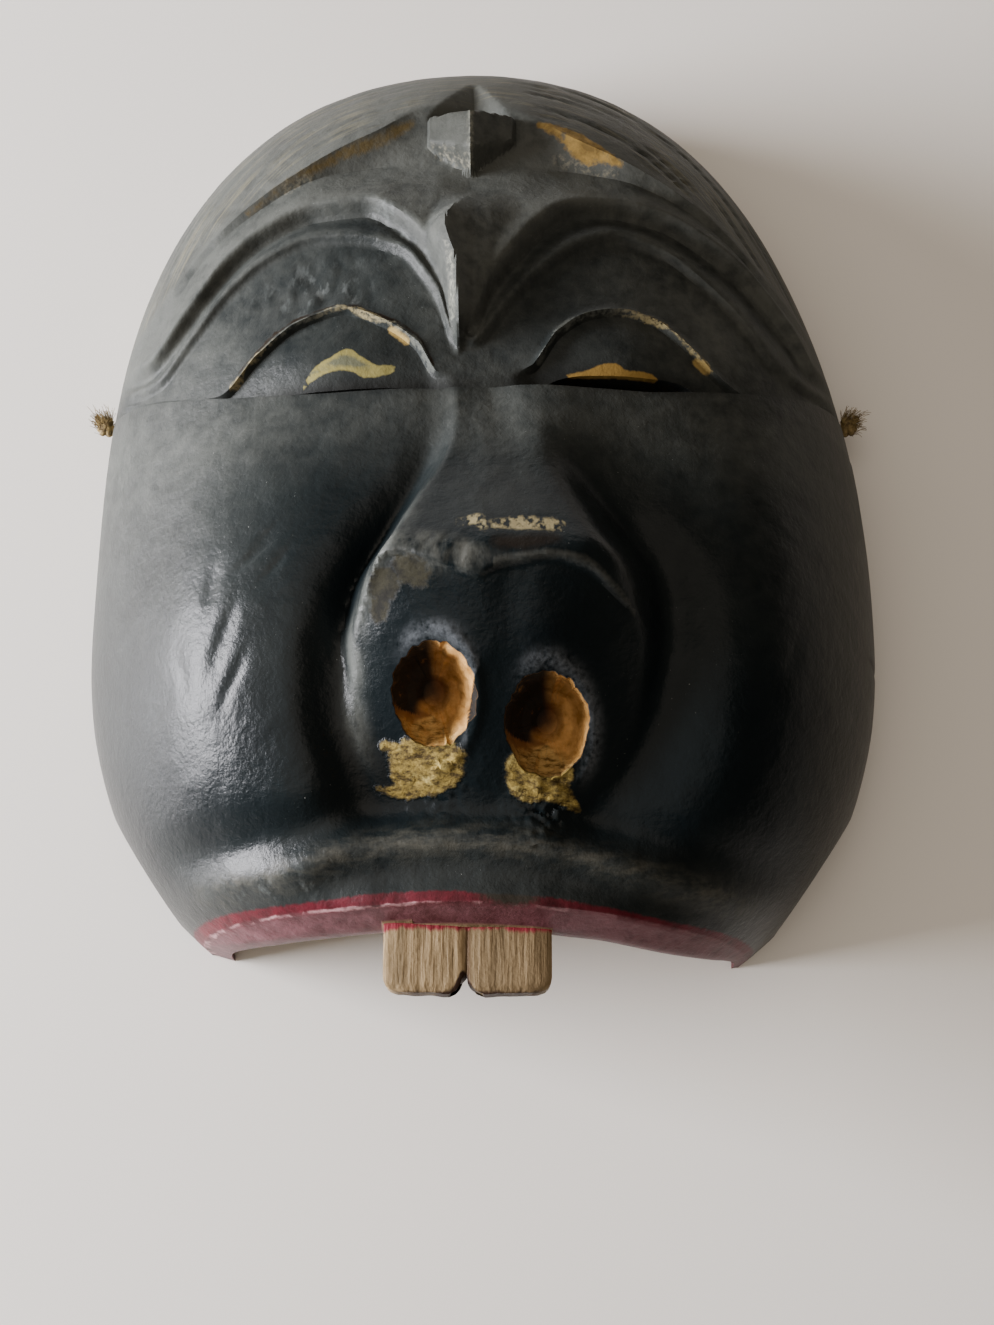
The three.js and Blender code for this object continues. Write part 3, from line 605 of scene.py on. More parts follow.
def face_height(x, y):
    """The finished front, kept just inside the box of the part."""
    crack = CRACK_DEPTH * bell(crack_line(x, y), CRACK_WIDTH) * smooth(CRACK_START, 74, x)
    return np.minimum(plain_height(x, y) + marks(x, y) - crack, cad_box[1][2] / MM - 0.05)


FRONT_COLUMNS, CROWN_ROWS = 236, 46


def rim_end(line, sign):
    """Where a line across the face meets the outline."""
    x = sign * HALF_WIDTH * 0.96
    for _ in range(40):
        x = (x + lean(line(x)) + sign * half_at(line(x))) / 2
    return float(x)


def plan_row(line, offset):
    """A row of the mesh in plan, along a line, from rim to rim and closer in the middle."""
    def moved(x):
        return line(x) + offset * length_up(line, x)
    left, right = rim_end(moved, -1), rim_end(moved, 1)
    u = np.linspace(-1, 1, FRONT_COLUMNS + 1)
    share = u - 0.36 * np.sin(2 * np.pi * u) / (2 * np.pi)
    x = left + (right - left) * (0.5 + share / 2)
    return np.stack([x, moved(x)], -1)


def crown_row():
    """The outline above the hair, from rim to rim over the crown."""
    power = CROWN_POWER
    start_y = plan_row(hair_edge, CUT)[0][1]
    start = math.asin(((start_y - WIDEST_Y) / (CROWN_Y - WIDEST_Y)) ** (power / 2))
    angle = math.pi - start - (math.pi - 2 * start) * np.linspace(0, 1, FRONT_COLUMNS + 1)
    y = WIDEST_Y + (CROWN_Y - WIDEST_Y) * np.abs(np.sin(angle)) ** (2 / power)
    reach = HALF_WIDTH * np.abs(np.cos(angle)) ** (2 / power)
    return np.stack([lean(y) + np.sign(np.cos(angle)) * reach, y], -1)


def front_rows():
    """Rows from the mouth to the crown: each stop is a carved line and the steps up to it."""
    stops = [
        (plan_row(roll_line, -3), 12), (plan_row(roll_line, 0), 8), (plan_row(nose_base, 0), 14),
        (plan_row(lambda x: -45 + 0.0006 * x * x, 0), 30),
        (plan_row(lambda x: NOSE_TIP + 0.003 * x * x, 0), 26),
        (plan_row(ledge, -4), 52), (plan_row(ledge, -CUT), 6), (plan_row(ledge, CUT), 4),
        (plan_row(lid, -CUT), 16), (plan_row(lid, CUT), 4), (plan_row(fold, -CUT), 24),
        (plan_row(fold, CUT), 4), (plan_row(brow, -BROW_CUT), 8), (plan_row(brow, BROW_CUT), 5),
        (plan_row(hair_foot, 0), 18), (plan_row(hair_edge, 0), 22),
    ]
    rows = [plan_row(mouth_line, 0)]
    for row, steps in stops:
        low = rows[-1]
        rows += [low + (row - low) * (k / steps) for k in range(1, steps + 1)]
    low, crown = rows[-1], crown_row()
    for k in range(1, CROWN_ROWS + 1):
        t = k / CROWN_ROWS
        rows.append(low + (crown - low) * t * (1.5 - 0.5 * t * t))
    return np.array(rows)


def grid_border(levels, count):
    """Numbers of the points around a grid, in turn."""
    top = (levels - 1) * count
    return [*range(count - 1), *[n * count + count - 1 for n in range(levels - 1)],
            *[top + n for n in range(count - 1, 0, -1)], *[n * count for n in range(levels - 1, 0, -1)]]


def block(rows, foot):
    """Closed mesh from rows of points that run rim to rim, closed below by a flat foot."""
    levels, count = rows.shape[:2]
    k, i = np.meshgrid(np.arange(levels - 1), np.arange(count - 1), indexing="ij")
    a, b = k * count + i, k * count + i + 1
    c, d = b + count, a + count
    rising = (np.linalg.norm(rows[:-1, :-1] - rows[1:, 1:], axis=-1)
              < np.linalg.norm(rows[:-1, 1:] - rows[1:, :-1], axis=-1))[..., None]
    one = np.where(rising, np.stack([a, b, c], -1), np.stack([a, b, d], -1))
    two = np.where(rising, np.stack([a, c, d], -1), np.stack([b, c, d], -1))
    border = grid_border(levels, count)
    flat = rows.reshape(-1, 3)
    under = flat[border].copy()
    under[:, 2] = foot
    first, size = len(flat), len(border)
    faces = [*one.reshape(-1, 3).tolist(), *two.reshape(-1, 3).tolist()]
    for n in range(size):
        m = (n + 1) % size
        faces.append((border[n], first + n, first + m))
        faces.append((border[n], first + m, border[m]))
        faces.append((first + n, first + size, first + m))
    return np.vstack([flat, under, [(0, 0, foot)]]), faces


def outside_block():
    """The front with its bevelled lip, closed by the flat back of the rim."""
    plan = front_rows()
    z = np.maximum(RIM_HEIGHT, face_height(plan[..., 0], plan[..., 1]))
    z[:, 0] = z[:, -1] = z[-1] = RIM_HEIGHT
    rows = np.concatenate([plan, z[..., None]], -1)
    x, y, z = rows[0].T
    drop = np.minimum(LIP_THICKNESS * 0.88, np.maximum(0.01, (z - RIM_HEIGHT) * 0.5))
    run = drop * 0.5 * smooth(10, 48, z)
    bevel = [np.stack([x, y - run * t, z - drop * t], -1) for t in (1, 0.8, 0.6, 0.4, 0.2)]
    return block(np.concatenate([np.array(bevel), rows]), 0)


HOLLOW_REAR = -112            # past the mouth, so that the hollow stays open there
HOLLOW_ROWS, HOLLOW_COLUMNS = 91, 101


def hollow_block():
    """The gouged hollow behind the face, with the marks of the gouge."""
    rear_y, top_y = HOLLOW_REAR, CROWN_Y - RIM_WIDTH
    depth = DOME_TOP + RIM_HEIGHT - WALL
    rows = []
    for t in np.linspace(0, 1, HOLLOW_ROWS):
        y = rear_y + (top_y - 0.02 - rear_y) * math.sin(t * math.pi / 2)
        share = np.sin(np.linspace(-1, 1, HOLLOW_COLUMNS) * math.pi / 2)
        lift = min(1, max(0, y - DOME_Y) / (top_y - DOME_Y))
        deep = depth * math.sqrt(1 - lift * lift) - 3.5 * max(0, (DOME_Y - y) / CHIN_RUN) ** 2
        if y > WIDEST_Y:
            wide = float(half_at(y, RIM_WIDTH))
        else:
            wide = float(half_at(max(y, MOUTH_Y)) - RIM_WIDTH * (1 - 0.5 * smooth(-50, MOUTH_Y, y)))
        rise = np.maximum(0, 1 - np.abs(share) ** 2.2) ** (1 / 2.2)
        x = lean(y) + share * wide
        z = deep * rise + 7 * bell(share * wide - 2, 10) * bell(y + 36, 16) * rise
        z = z + (0.9 * (0.4 - scallops(x, y * 0.55, 7, 11)) + 0.3 * drift(x, y, 9, 12)) * smooth(0, 0.5, rise)
        rows.append(np.stack([x, np.full_like(x, y), z], -1))
    return block(np.array(rows), -10)


TEETH_X, TEETH_TOP, TEETH_LOW, TEETH_FRONT = -2.2, -79, -96.7, 45.6
TOOTH_CORNER, TOOTH_OVERLAP = 2.6, 0.15


def slab(grid):
    """Closed slab from a grid of outline shares: grid[k, i] = (x, y, front z, back z)."""
    levels, count = grid.shape[:2]
    front = grid[..., [0, 1, 2]].reshape(-1, 3)
    back = grid[..., [0, 1, 3]].reshape(-1, 3)
    size = len(front)
    faces = []
    for k in range(levels - 1):
        for i in range(count - 1):
            a, b = k * count + i, k * count + i + 1
            c, d = b + count, a + count
            faces.append((a, b, c, d))
            faces.append((a + size, d + size, c + size, b + size))
    border = grid_border(levels, count)
    for n, here in enumerate(border):
        ahead = border[(n + 1) % len(border)]
        faces.append((ahead, here, here + size, ahead + size))
    return np.vstack([front, back]), faces


def tooth(sign, seed):
    """One tooth: a flat tongue with rounded lower corners, chipped where it meets the other."""
    v, u = np.meshgrid(np.linspace(0, 1, 40), np.linspace(-1, 1, 41), indexing="ij")
    low = TEETH_LOW + 0.35 * drift(u * 6 + 9 * seed, 0.0, 3.1, 20 + seed) + 0.35
    seam = (1 + sign * u) * TOOTH_WIDTH / 2
    low = low + (1.9 * smooth(1.3, 0.2, seam) if sign < 0 else 0.5 * smooth(0.9, 0.1, seam))
    y = low + (TEETH_TOP - low) * v
    up = y - low
    arc = TOOTH_CORNER - np.sqrt(np.maximum(0, TOOTH_CORNER ** 2 - (TOOTH_CORNER - up) ** 2))
    corner = np.where(up < TOOTH_CORNER, arc, 0)
    x = u * (TOOTH_WIDTH / 2 - corner * 0.9) + TEETH_X + sign * (TOOTH_WIDTH / 2 - TOOTH_OVERLAP)
    crown = 0.55 * np.abs(u) ** 5 + 0.7 * bell(up, 0.9)
    front = TEETH_FRONT - crown + 0.07 * drift(u * 20, v * 3, 1.3, 22 + seed)
    back = np.full_like(x, TEETH_FRONT - TOOTH_THICKNESS)
    return slab(np.stack([x, y, front, back], -1))


def slit(sign, height):
    """A sight slit through the wall, just above the ledge of the cheek."""
    start = float(middle(8)) + sign * SLIT_START
    t = np.linspace(0, 1, 33)
    x = start + sign * SLIT_LENGTH * t
    y = ledge(x) + CUT + 0.4
    taper = np.sqrt(np.maximum(0.04, 1 - (2 * t - 1) ** 4))
    outline = [*zip(x, y), *zip(x[::-1], (y + height * taper)[::-1])]
    if sign < 0:
        outline = outline[::-1]
    n = len(outline)
    vertices = [(a, b, z) for z in (20, 80) for a, b in outline]
    faces = [tuple(range(n))[::-1], tuple(range(n, 2 * n))]
    faces += [(i, (i + 1) % n, n + (i + 1) % n, n + i) for i in range(n)]
    return vertices, faces


NOSE_SLANT = math.atan2(TIP_HEIGHT - FOOT_HEIGHT, NOSE_TIP - NOSE_FOOT)


def nostril(place, seed):
    """A gouged cup that narrows to one cut of the gouge; its wall shows the cut fibres."""
    mouth = NOSTRIL_WIDTH / 2
    profile = np.array([
        (0, -NOSTRIL_DEPTH * 1.18), (NOSTRIL_PIT / 2, -NOSTRIL_DEPTH * 1.12),
        (mouth * 0.4, -NOSTRIL_DEPTH * 0.93), (mouth * 0.62, -NOSTRIL_DEPTH * 0.8),
        (mouth * 0.75, -NOSTRIL_DEPTH * 0.62), (mouth * 0.86, -NOSTRIL_DEPTH * 0.45),
        (mouth * 0.93, -NOSTRIL_DEPTH * 0.22), (mouth, 0), (mouth * 1.05, 1.2), (mouth * 1.12, 3),
        (mouth * 1.2, 14), (0, 14)])
    wall = [profile[0]]
    for a, b in zip(profile[1:-1], profile[2:]):
        steps = 8 if b[1] <= 3 else 1
        wall += [a + (b - a) * s / steps for s in range(steps)]
    wall.append(profile[-1])
    sides = 96
    angle = np.linspace(0, 2 * math.pi, sides, endpoint=False)
    vertices = [(0, 0, wall[0][1])]
    for r, h in wall[1:-1]:
        rough = smooth(-NOSTRIL_DEPTH * 1.15, -NOSTRIL_DEPTH + 2, h) * (1 - smooth(8, 13, h))
        reach = r + rough * (0.3 * drift(np.cos(angle) * 20, np.sin(angle) * 20 + h * 0.5, 3, 40 + seed)
                             + 0.16 * drift(np.cos(angle) * 40, np.sin(angle) * 40, 2.5, 44 + seed))
        vertices += [(c * q, s * q, h) for c, s, q in zip(np.cos(angle), np.sin(angle), reach)]
    vertices.append((0, 0, wall[-1][1]))
    last, rings = len(vertices) - 1, len(wall) - 2
    faces = [(0, 1 + (i + 1) % sides, 1 + i) for i in range(sides)]
    for k in range(rings - 1):
        for i in range(sides):
            a, b = 1 + k * sides + i, 1 + k * sides + (i + 1) % sides
            faces.append((a, b, b + sides, a + sides))
    top = 1 + (rings - 1) * sides
    faces += [(top + i, top + (i + 1) % sides, last) for i in range(sides)]
    p = np.array(vertices)
    p[:, 1] *= NOSTRIL_LONG
    tilt = NOSE_SLANT * NOSTRIL_TILT
    y, z = p[:, 1].copy(), p[:, 2].copy()
    p[:, 1], p[:, 2] = y * math.cos(tilt) - z * math.sin(tilt), y * math.sin(tilt) + z * math.cos(tilt)
    return p + (place[0], place[1], float(plain_height(np.array(place[0]), np.array(place[1])))), faces


def cord_bore():
    """The two holes in the side walls, as one drill right through."""
    path = np.array([(-90.0, CORD_Y, CORD_Z), (90.0, CORD_Y, CORD_Z)])
    return tube(path, CORD_HOLE / 2, 32)


def combine(target, cutters):
    """The target with the cutters taken away or added, one after another."""
    for operation, (vertices, faces) in cutters:
        tool = piece("cutter", vertices, faces, target.data.materials[0])
        cut = target.modifiers.new("cut", "BOOLEAN")
        cut.operation, cut.solver, cut.object = operation, "MANIFOLD", tool
        bpy.context.view_layer.update()
        done = bpy.data.meshes.new_from_object(
            target.evaluated_get(bpy.context.evaluated_depsgraph_get()))
        target.modifiers.remove(cut)
        target.data = done
        bpy.data.objects.remove(tool)


enamel, tree, shader, place = material("worn_black_enamel")
bare, bare_tree, bare_shader, bare_place = material("gouged_bare_wood")

mask = piece("painted_mask", *outside_block(), enamel)
combine(mask, [
    ("DIFFERENCE", hollow_block()),
    ("UNION", tooth(-1, 0)), ("UNION", tooth(1, 1)),
    ("DIFFERENCE", slit(-1, SLIT_LEFT)), ("DIFFERENCE", slit(1, SLIT_RIGHT)),
    ("DIFFERENCE", nostril(NOSTRILS[0], 0)), ("DIFFERENCE", nostril(NOSTRILS[1], 1)),
    ("DIFFERENCE", cord_bore()),
])
mask_mesh = mask.data
mask_mesh.name = "painted_mask"
mask_mesh.shade_smooth()
mask_mesh.set_sharp_from_angle(angle=math.radians(38))

# Where each finish lies, from the place of each vertex on the front
def read(items, name, width=1, kind=np.int32):
    """A property of every vertex, corner or face of a mesh, as one array."""
    values = np.empty(len(items) * width, kind)
    items.foreach_get(name, values)
    return values


vx, vy, vz = read(mask_mesh.vertices, "co", 3, np.float32).reshape(-1, 3).astype(float).T / MM
depth_in = np.maximum(RIM_HEIGHT, face_height(vx, vy)) - vz


def keep(name, values, where=True, off=0.0):
    """A float attribute of the mask: the values, and off outside where."""
    made = mask_mesh.attributes.new(name, "FLOAT", "POINT")
    made.data.foreach_set("value", np.ascontiguousarray(np.where(where, values, off), np.float32))


def blob(cx, cy, rx, ry, turn=0.0, y=vy):
    """Millimetres inside an ellipse, negative outside it, about its nearer axis."""
    u, v = turned(vx, y, cx, cy, turn)
    return (1 - np.hypot(u / rx, v / ry)) * min(rx, ry)


def stroke(points, width):
    """Millimetres inside a brush stroke through the points, negative outside it."""
    best = np.full(len(vx), -99.0)
    points = np.array(points, float)
    wide = np.broadcast_to(width, len(points))
    for (ax, ay), (bx, by), wa, wb in zip(points, points[1:], wide, wide[1:]):
        length = (bx - ax) ** 2 + (by - ay) ** 2
        t = np.clip(((vx - ax) * (bx - ax) + (vy - ay) * (by - ay)) / length, 0, 1)
        away = np.hypot(vx - ax - t * (bx - ax), vy - ay - t * (by - ay))
        best = np.maximum(best, wa + (wb - wa) * t - away)
    return best


def between(low, high):
    """Millimetres inside the area between two lines, negative outside it."""
    return np.minimum(carved_line(high)(vx) - vy, vy - carved_line(low)(vx))


# Zones named below hold signed millimetres, above 0 inside the finish, or a share from 0 to 1
OUTER_WALL = 0.97             # share of the way out, past which a face is the outer wall
outline_share = np.where(vy > WIDEST_Y, ring_share(vx, vy), share_across(vx, vy))
on_front = (depth_in < 0.9) | (outline_share > OUTER_WALL)
nose_side = np.abs(vx - middle(vy))
mouth_gap = vy - mouth_line(vx)
lip_top = carved_line([[-60, 2.0], [-46, 1.7], [-30, 1.3], [-16, 1.8], [-5, 1.7], [2, 1.3], [10, 1.4],
                       [20, 0.9], [30, 0.8], [46, 1.2], [60, 1.5]])
on_tooth = ((vy < TEETH_TOP - 3) & (np.abs(vx - TEETH_X) < TOOTH_WIDTH + 0.05)
            & (vz < TEETH_FRONT + 0.12) & (mouth_gap < -1.2)
            & (vz > TEETH_FRONT - TOOTH_THICKNESS - 0.5))
keep("lip", np.minimum(lip_top(vx) - mouth_gap, 9), ~on_tooth, -3)
keep("lip_edge", -mouth_gap)
keep("lip_left", smooth(30, -30, vx))
keep("lip_worn", blob(4.6, 1.3, 4.8, 1.5, y=mouth_gap))
keep("tooth", 1.0, on_tooth)
keep("tooth_right", 1.0, on_tooth & (vx > TEETH_X))
keep("tooth_low", vy - TEETH_LOW - 3.4 * bell(vx - TEETH_X + 0.7, 1.3), on_tooth, 9.0)
keep("tooth_gap", np.abs(vx - TEETH_X), on_tooth, 9.0)
keep("drip", mouth_gap + 3.4, on_tooth, -9.0)

# Eyes: a pale ochre iris, a cream line on the edge of the lid, and painted shade in and around the slit below
iris_left = between(
    [(-32, 8), (-31.4, 8.9), (-29.6, 10.1), (-27.6, 11), (-25.1, 11.3), (-23, 11), (-20.7, 9.8),
     (-19.1, 9.8), (-17.5, 10.1), (-15.7, 10.6), (-15, 11.6)],
    [(-32, 8.2), (-31.6, 9.5), (-29.1, 12.6), (-26.6, 13.9), (-23.8, 15.3), (-21.2, 13.6), (-18.2, 11.9),
     (-15.8, 11.9), (-15, 11.4)])
iris_right = between(
    [(14.6, 10.4), (15.6, 9.6), (19, 9.6), (22.9, 9.9), (26.5, 9.9), (30.5, 9.9), (31.2, 10.6)],
    [(14.6, 10.2), (15.2, 10.4), (18.5, 11.2), (21.3, 12.4), (23.6, 12.6), (25.6, 11.4), (27.8, 11.6),
     (30.3, 11.4), (31.2, 10.4)])
keep("iris", np.where(vx < 0, iris_left, iris_right), on_front, -3)
keep("iris_left", smooth(2, -2, vx))
keep("iris_core", between([(-28, 11.6), (-25, 12.1), (-22.6, 11.7), (-19, 11)],
                          [(-28, 12.4), (-24, 14.1), (-21, 12.6), (-19, 11.2)]))
lid_gap = beyond(lid, vx, vy) - 0.35 + 0.3 * drift(vx, vy, 4, 50) + 0.25 * drift(vx, vy, 1.3, 56)
lid_span = (smooth(-47, -45, vx) * smooth(-7, -9, vx) + smooth(8.5, 10, vx) * smooth(42.5, 41, vx)) * on_front
lid_break = np.maximum(0, drift(vx, vy, 3.1, 51) - 0.15) * 0.7 * smooth(4, -4, np.abs(vx + 37) - 6)
keep("lid_line", 0.44 + 0.3 * drift(vx, vy, 1.6, 52) - np.abs(lid_gap) - lid_break, lid_span > 0.5, -3)
keep("lid_cream", np.where(vx < 0, np.maximum(bell(vx + 44, 5), 0.9 * bell(vx + 22, 6)), smooth(22, 30, vx)))
# A dark brown line beside the raised edge of each lid: the crack in the paint, partly a painted shadow
crack_gap = np.where(vx < 0, lid_gap - 0.75, lid_gap + 0.1 - 0.2 * smooth(28, 34, vx))
crack_span = np.where(vx < 0, smooth(-46, -42, vx), smooth(27, 31, vx)) * lid_span
keep("lid_crack_and_shadow", 0.26 + 0.2 * drift(vx, vy, 3, 53) - np.abs(crack_gap), crack_span > 0.5, -3)
keep("lid_dash", np.maximum(stroke([(-16.2, 19.0), (-13.4, 16.6)], [0.5, 0.55]),
                            stroke([(38.2, 15.6), (40.2, 14.4)], [0.6, 0.75])))
# Painted shade over the sight slits
keep("slit_painted_shade", np.where(vx > 0, blob(23, 8, 15, 3.2), blob(-19, 6.9, 17, 2.2)))

# Tip of the nose: bare strip, dark hollow, rubbed lobe, its edge and the grazed patch
keep("tip_strip", np.maximum(stroke([(2.6, -26.6), (7, -26.3), (12, -26.6)], [1.1, 1.5, 1.3]),
                             stroke([(-3, -26), (-0.6, -25.4), (0.6, -27.4)], [0.8, 1.1, 0.6])))
keep("tip_dark", stroke([(3, -30.4), (7.4, -30.4), (11.5, -29.6)], [1.2, 1.5, 0.8]))
keep("lobe", stroke([(-12.5, -30), (-7, -31.2), (-2.5, -32.6), (1, -33.2)], [2.0, 2.8, 2.4, 1.4]))
keep("tip_line", 0.5 - np.abs(vy - tip_edge(vx) - 0.4), (nose_side < nose_half(vy)) & (vx > 2), -3)
keep("nose_patch", np.maximum.reduce([blob(-11, -34.2, 3.4, 2.0, -0.5), blob(-15.2, -35.6, 2.6, 2.4),
                                      blob(-16, -38.5, 1.6, 2.2)]))

# Forehead: ochre paint right of the stud, an old stained line left of it, and scuffs
keep("ochre", np.maximum(
    stroke([(10.4, 65.2), (13.5, 64), (17.5, 61.6), (21.5, 59), (25.6, 57)], [0.5, 1.3, 2.0, 1.5, 0.5]),
    blob(18.4, 59.4, 3.6, 1.5, -0.6)))
keep("old_line", np.maximum(
    stroke([(-27, 58.8), (-24, 60), (-20, 61.6), (-16, 64.2), (-13.4, 66)], [0.7, 1.0, 1.1, 1.0, 0.6]),
    stroke([(-44, 48.6), (-40, 51.4), (-35, 54.6), (-28, 58)], [0.3, 0.6, 0.5, 0.7])))
keep("scuff", np.maximum.reduce([
    stroke([(14, 58), (19, 57), (24.5, 55.6)], [0.8, 1.2, 0.6]),
    stroke([(-37, 52.6), (-33, 54.4)], [0.9, 0.7]),
    stroke([(-9.6, 60), (-6.4, 57.6), (-2.6, 54.8)], [0.2, 0.3, 0.2])]))
keep("stud_left", smooth(0.2, -0.2, vx - STUD_X), stud(vx, vy) > 0.6)

# Wear on the crests, where hands and cloth rub the paint, with painted highlights, painted glints and the
# painted shade of the crack
side_share = share_across(vx, vy)
# Grey along the crests: rubbed paint and partly a painted highlight, strongest on the left flank of the nose
# that faces the window
crest_wear_and_highlight = (
    0.7 * bell(beyond(brow, vx, vy) - 1.8, 1.6) * smooth(0, 1.5, np.abs(vx + 2.5))
    + 0.55 * bell(beyond(fold, vx, vy) - 1.0, 1.1)
    + 0.5 * bell(beyond(hair_edge, vx, vy) - 0.8, 1.0)
    + 0.9 * bell(nose_side - nose_half(vy) - 0.3, 1.4) * smooth(-10, -26, vy) * smooth(-63, -57, vy)
    * smooth(3, 0, vx)
    + 0.4 * bell(vy - roll_line(vx) + 0.4, 2.0) * (1 - smooth(0.8, 0.95, side_share)))
keep("crest", crest_wear_and_highlight, on_front)
keep("gloss", 0.12 + 0.08 * smooth(0, -16, vy) * smooth(30, -20, vx) - 0.03 * smooth(20, 40, vx))
# Painted shade along the crack in the right rim
keep("crack", bell(crack_line(vx, vy), CRACK_WIDTH) * smooth(CRACK_START, 73, vx))
keep("roll", bell(vy - roll_line(vx) + 0.2, 2.4) * (1 - smooth(0.75, 0.93, side_share)), on_front)
# A pale line along the crests of the stud and the leaf: a painted highlight
stud_ridge = 0.4 - np.abs(vx - STUD_X) - 9 * (vy < 54.5) - 9 * (vy > 65)
leaf_ridge = 0.3 - np.abs(vx - leaf_crest(vy) + 0.9) - 9 * (vy < 19) - 9 * (vy > 34)
keep("sharp_crest_highlight", np.maximum(stud_ridge, leaf_ridge - 0.4 * drift(vx, vy, 3, 60)), on_front, -3)
keep("wing", bell(nose_side - nose_half(vy) + 0.3, 1.7) * smooth(-14, -34, vy)
     * smooth(-60, -54, vy) * smooth(0, -4, vx), on_front)
# Painted glints: pale blue-grey streaks on the chisel marks of the left lid and the brow, and a spot on the
# lip's left end
keep("painted_glints", 0.8 * bell(beyond(brow, vx, vy) + 1.2, 3.2) * bell(vx + 13, 9)
     + bell(vx + 30, 9) * bell(vy - 29, 6) + 0.7 * bell(vx + 34, 9) * bell(vy + 79, 3), on_front)

# Nostrils: which part of a cup a vertex belongs to, and the torn wood below each cup, as an
# ellipse from the cup's middle and the strokes that it runs out in
TORN_WOOD = (
    ((-0.9, -9, 6.2, 4.4), (([(-16, -57.6), (-13, -59)], [0.4, 1.2]),
                            ([(-17, -64.2), (-12, -65), (-6.4, -64)], [0.3, 1.0, 0.8]))),
    ((-1.6, -6.4, 5.4, 4.2), (([(8, -62), (12.4, -65), (16.2, -67.6)], [3.2, 1.8, 0.4]),)))
CUP_REACH = 1.9               # in radii of the cup
cup, cup_turn, cup_depth_shade, rim_grey = np.zeros((4, len(vx)))
cup_out, torn = np.full(len(vx), 9.0), np.full(len(vx), -9.0)
for (cx, cy), ((dx, dy, rx, ry), runs) in zip(NOSTRILS, TORN_WOOD):
    u, v = vx - cx, (vy - cy) / NOSTRIL_LONG
    out = np.hypot(u, v) / (NOSTRIL_WIDTH / 2)
    near = out < CUP_REACH
    turn = np.degrees(np.arctan2(v, u))
    inside = near & (depth_in > 0.7)
    cup = np.where(inside, 1.0, cup)
    cup_out = np.where(near, out, cup_out)
    cup_turn = np.where(near, turn, cup_turn)
    # Share of depth in the cup, for the painted shade that darkens its bottom
    cup_depth_shade = np.where(inside, np.clip(depth_in / 15, 0, 1), cup_depth_shade)
    raised = bell(out - 1.1, 0.16) * smooth(-60, -20, turn) * smooth(150, 100, turn)
    rim_grey = np.where(near, raised, rim_grey)
    torn = np.maximum.reduce([torn, blob(cx + dx, cy + dy, rx, ry), *(stroke(*run) for run in runs)])
keep("cup", cup)
keep("cup_depth_shade", cup_depth_shade)
# Lower wall of each cup: torn wood, painted lighter to make up for the shade there
keep("cup_low_painted_light", cup * smooth(-15, -60, cup_turn) * smooth(-175, -150, cup_turn))
keep("cup_dark", cup * smooth(75, 100, cup_turn) * smooth(0.25, 0.5, cup_out))
keep("cup_left", cup * np.maximum(smooth(150, 170, cup_turn), smooth(-150, -170, cup_turn)))
keep("rim_grey", rim_grey)
keep("torn", torn, cup <= 0.5, -9)

# Dust on what lies flat: the crown, the left cheek, the corner of the right eye, the lips
dusty = (0.36 * smooth(-25, 30, vy) + above(brow, vx, vy, 3)
         + 0.6 * smooth(-20, -68, vx) * smooth(-70, -20, vy)
         + 0.5 * smooth(8, 40, vx) * smooth(8, 24, vy) + 0.35 * smooth(50, 72, vx)
         + 0.4 * bell(vy, 9) + 0.3 * bell(nose_side, 9) * smooth(-30, -20, vy)
         + 0.22 * smooth(12, 40, vx) * smooth(-55, -20, vy) + 0.25 * bell(vy + 82, 8))
keep("dust", np.clip(dusty, 0, 1.3) * on_front)
keep("hairy", smooth(0.5, 3, vy - hair_edge(vx)))
keep("ring", ring_share(vx, vy) * 100)

# The hollow's own faces are bare wood
loops = read(mask_mesh.loops, "vertex_index")
starts = read(mask_mesh.polygons, "loop_start")
totals = read(mask_mesh.polygons, "loop_total")


def mean_of(values):
    """Mean of a vertex value over the corners of each face."""
    return np.add.reduceat(values[loops], starts) / totals


inner = ((mean_of(depth_in) > 4.5) & (mean_of(cup) < 0.35) & (mean_of(vz) > 0.02) & (mean_of(vy) > -83)
         & (np.maximum.reduceat(outline_share[loops], starts) < OUTER_WALL))
mask_mesh.materials.clear()
mask_mesh.materials.append(enamel)
mask_mesh.materials.append(bare)
mask_mesh.polygons.foreach_set("material_index", inner.astype(np.int32))


# Black enamel, brushed on by hand, worn and dusty: the finishes lie over it in turn
def grainy(scale, detail, roughness, stretch=(1, 1, 1)):
    """Noise in the paint."""
    return noise(tree, place, scale, detail, roughness, stretch)


def zone(name):
    """Where a finish lies, as kept above."""
    return attribute(tree, name)


def plus(a, b):
    """The sum of two values, free to pass 1."""
    return calc(tree, "ADD", a, b)


def scaled(a, b):
    """The product of two values, free to pass 1."""
    return calc(tree, "MULTIPLY", a, b)


def times(a, b):
    """One share of another, from 0 to 1."""
    return calc(tree, "MULTIPLY", a, b, True)


def part(value, low, high):
    """How far a value is from low to high, from 0 to 1."""
    return step(tree, value, low, high)


def over(under, share, code):
    """A colour with a share of another laid over it."""
    return blend(tree, share, under, code)


def ragged(name, amount, soft, source=None):
    """Share of a finish whose edge, in millimetres, is broken up by noise."""
    edge = scaled(calc(tree, "SUBTRACT", source or fine, 0.5), amount)
    return part(plus(zone(name), edge), -soft, soft)


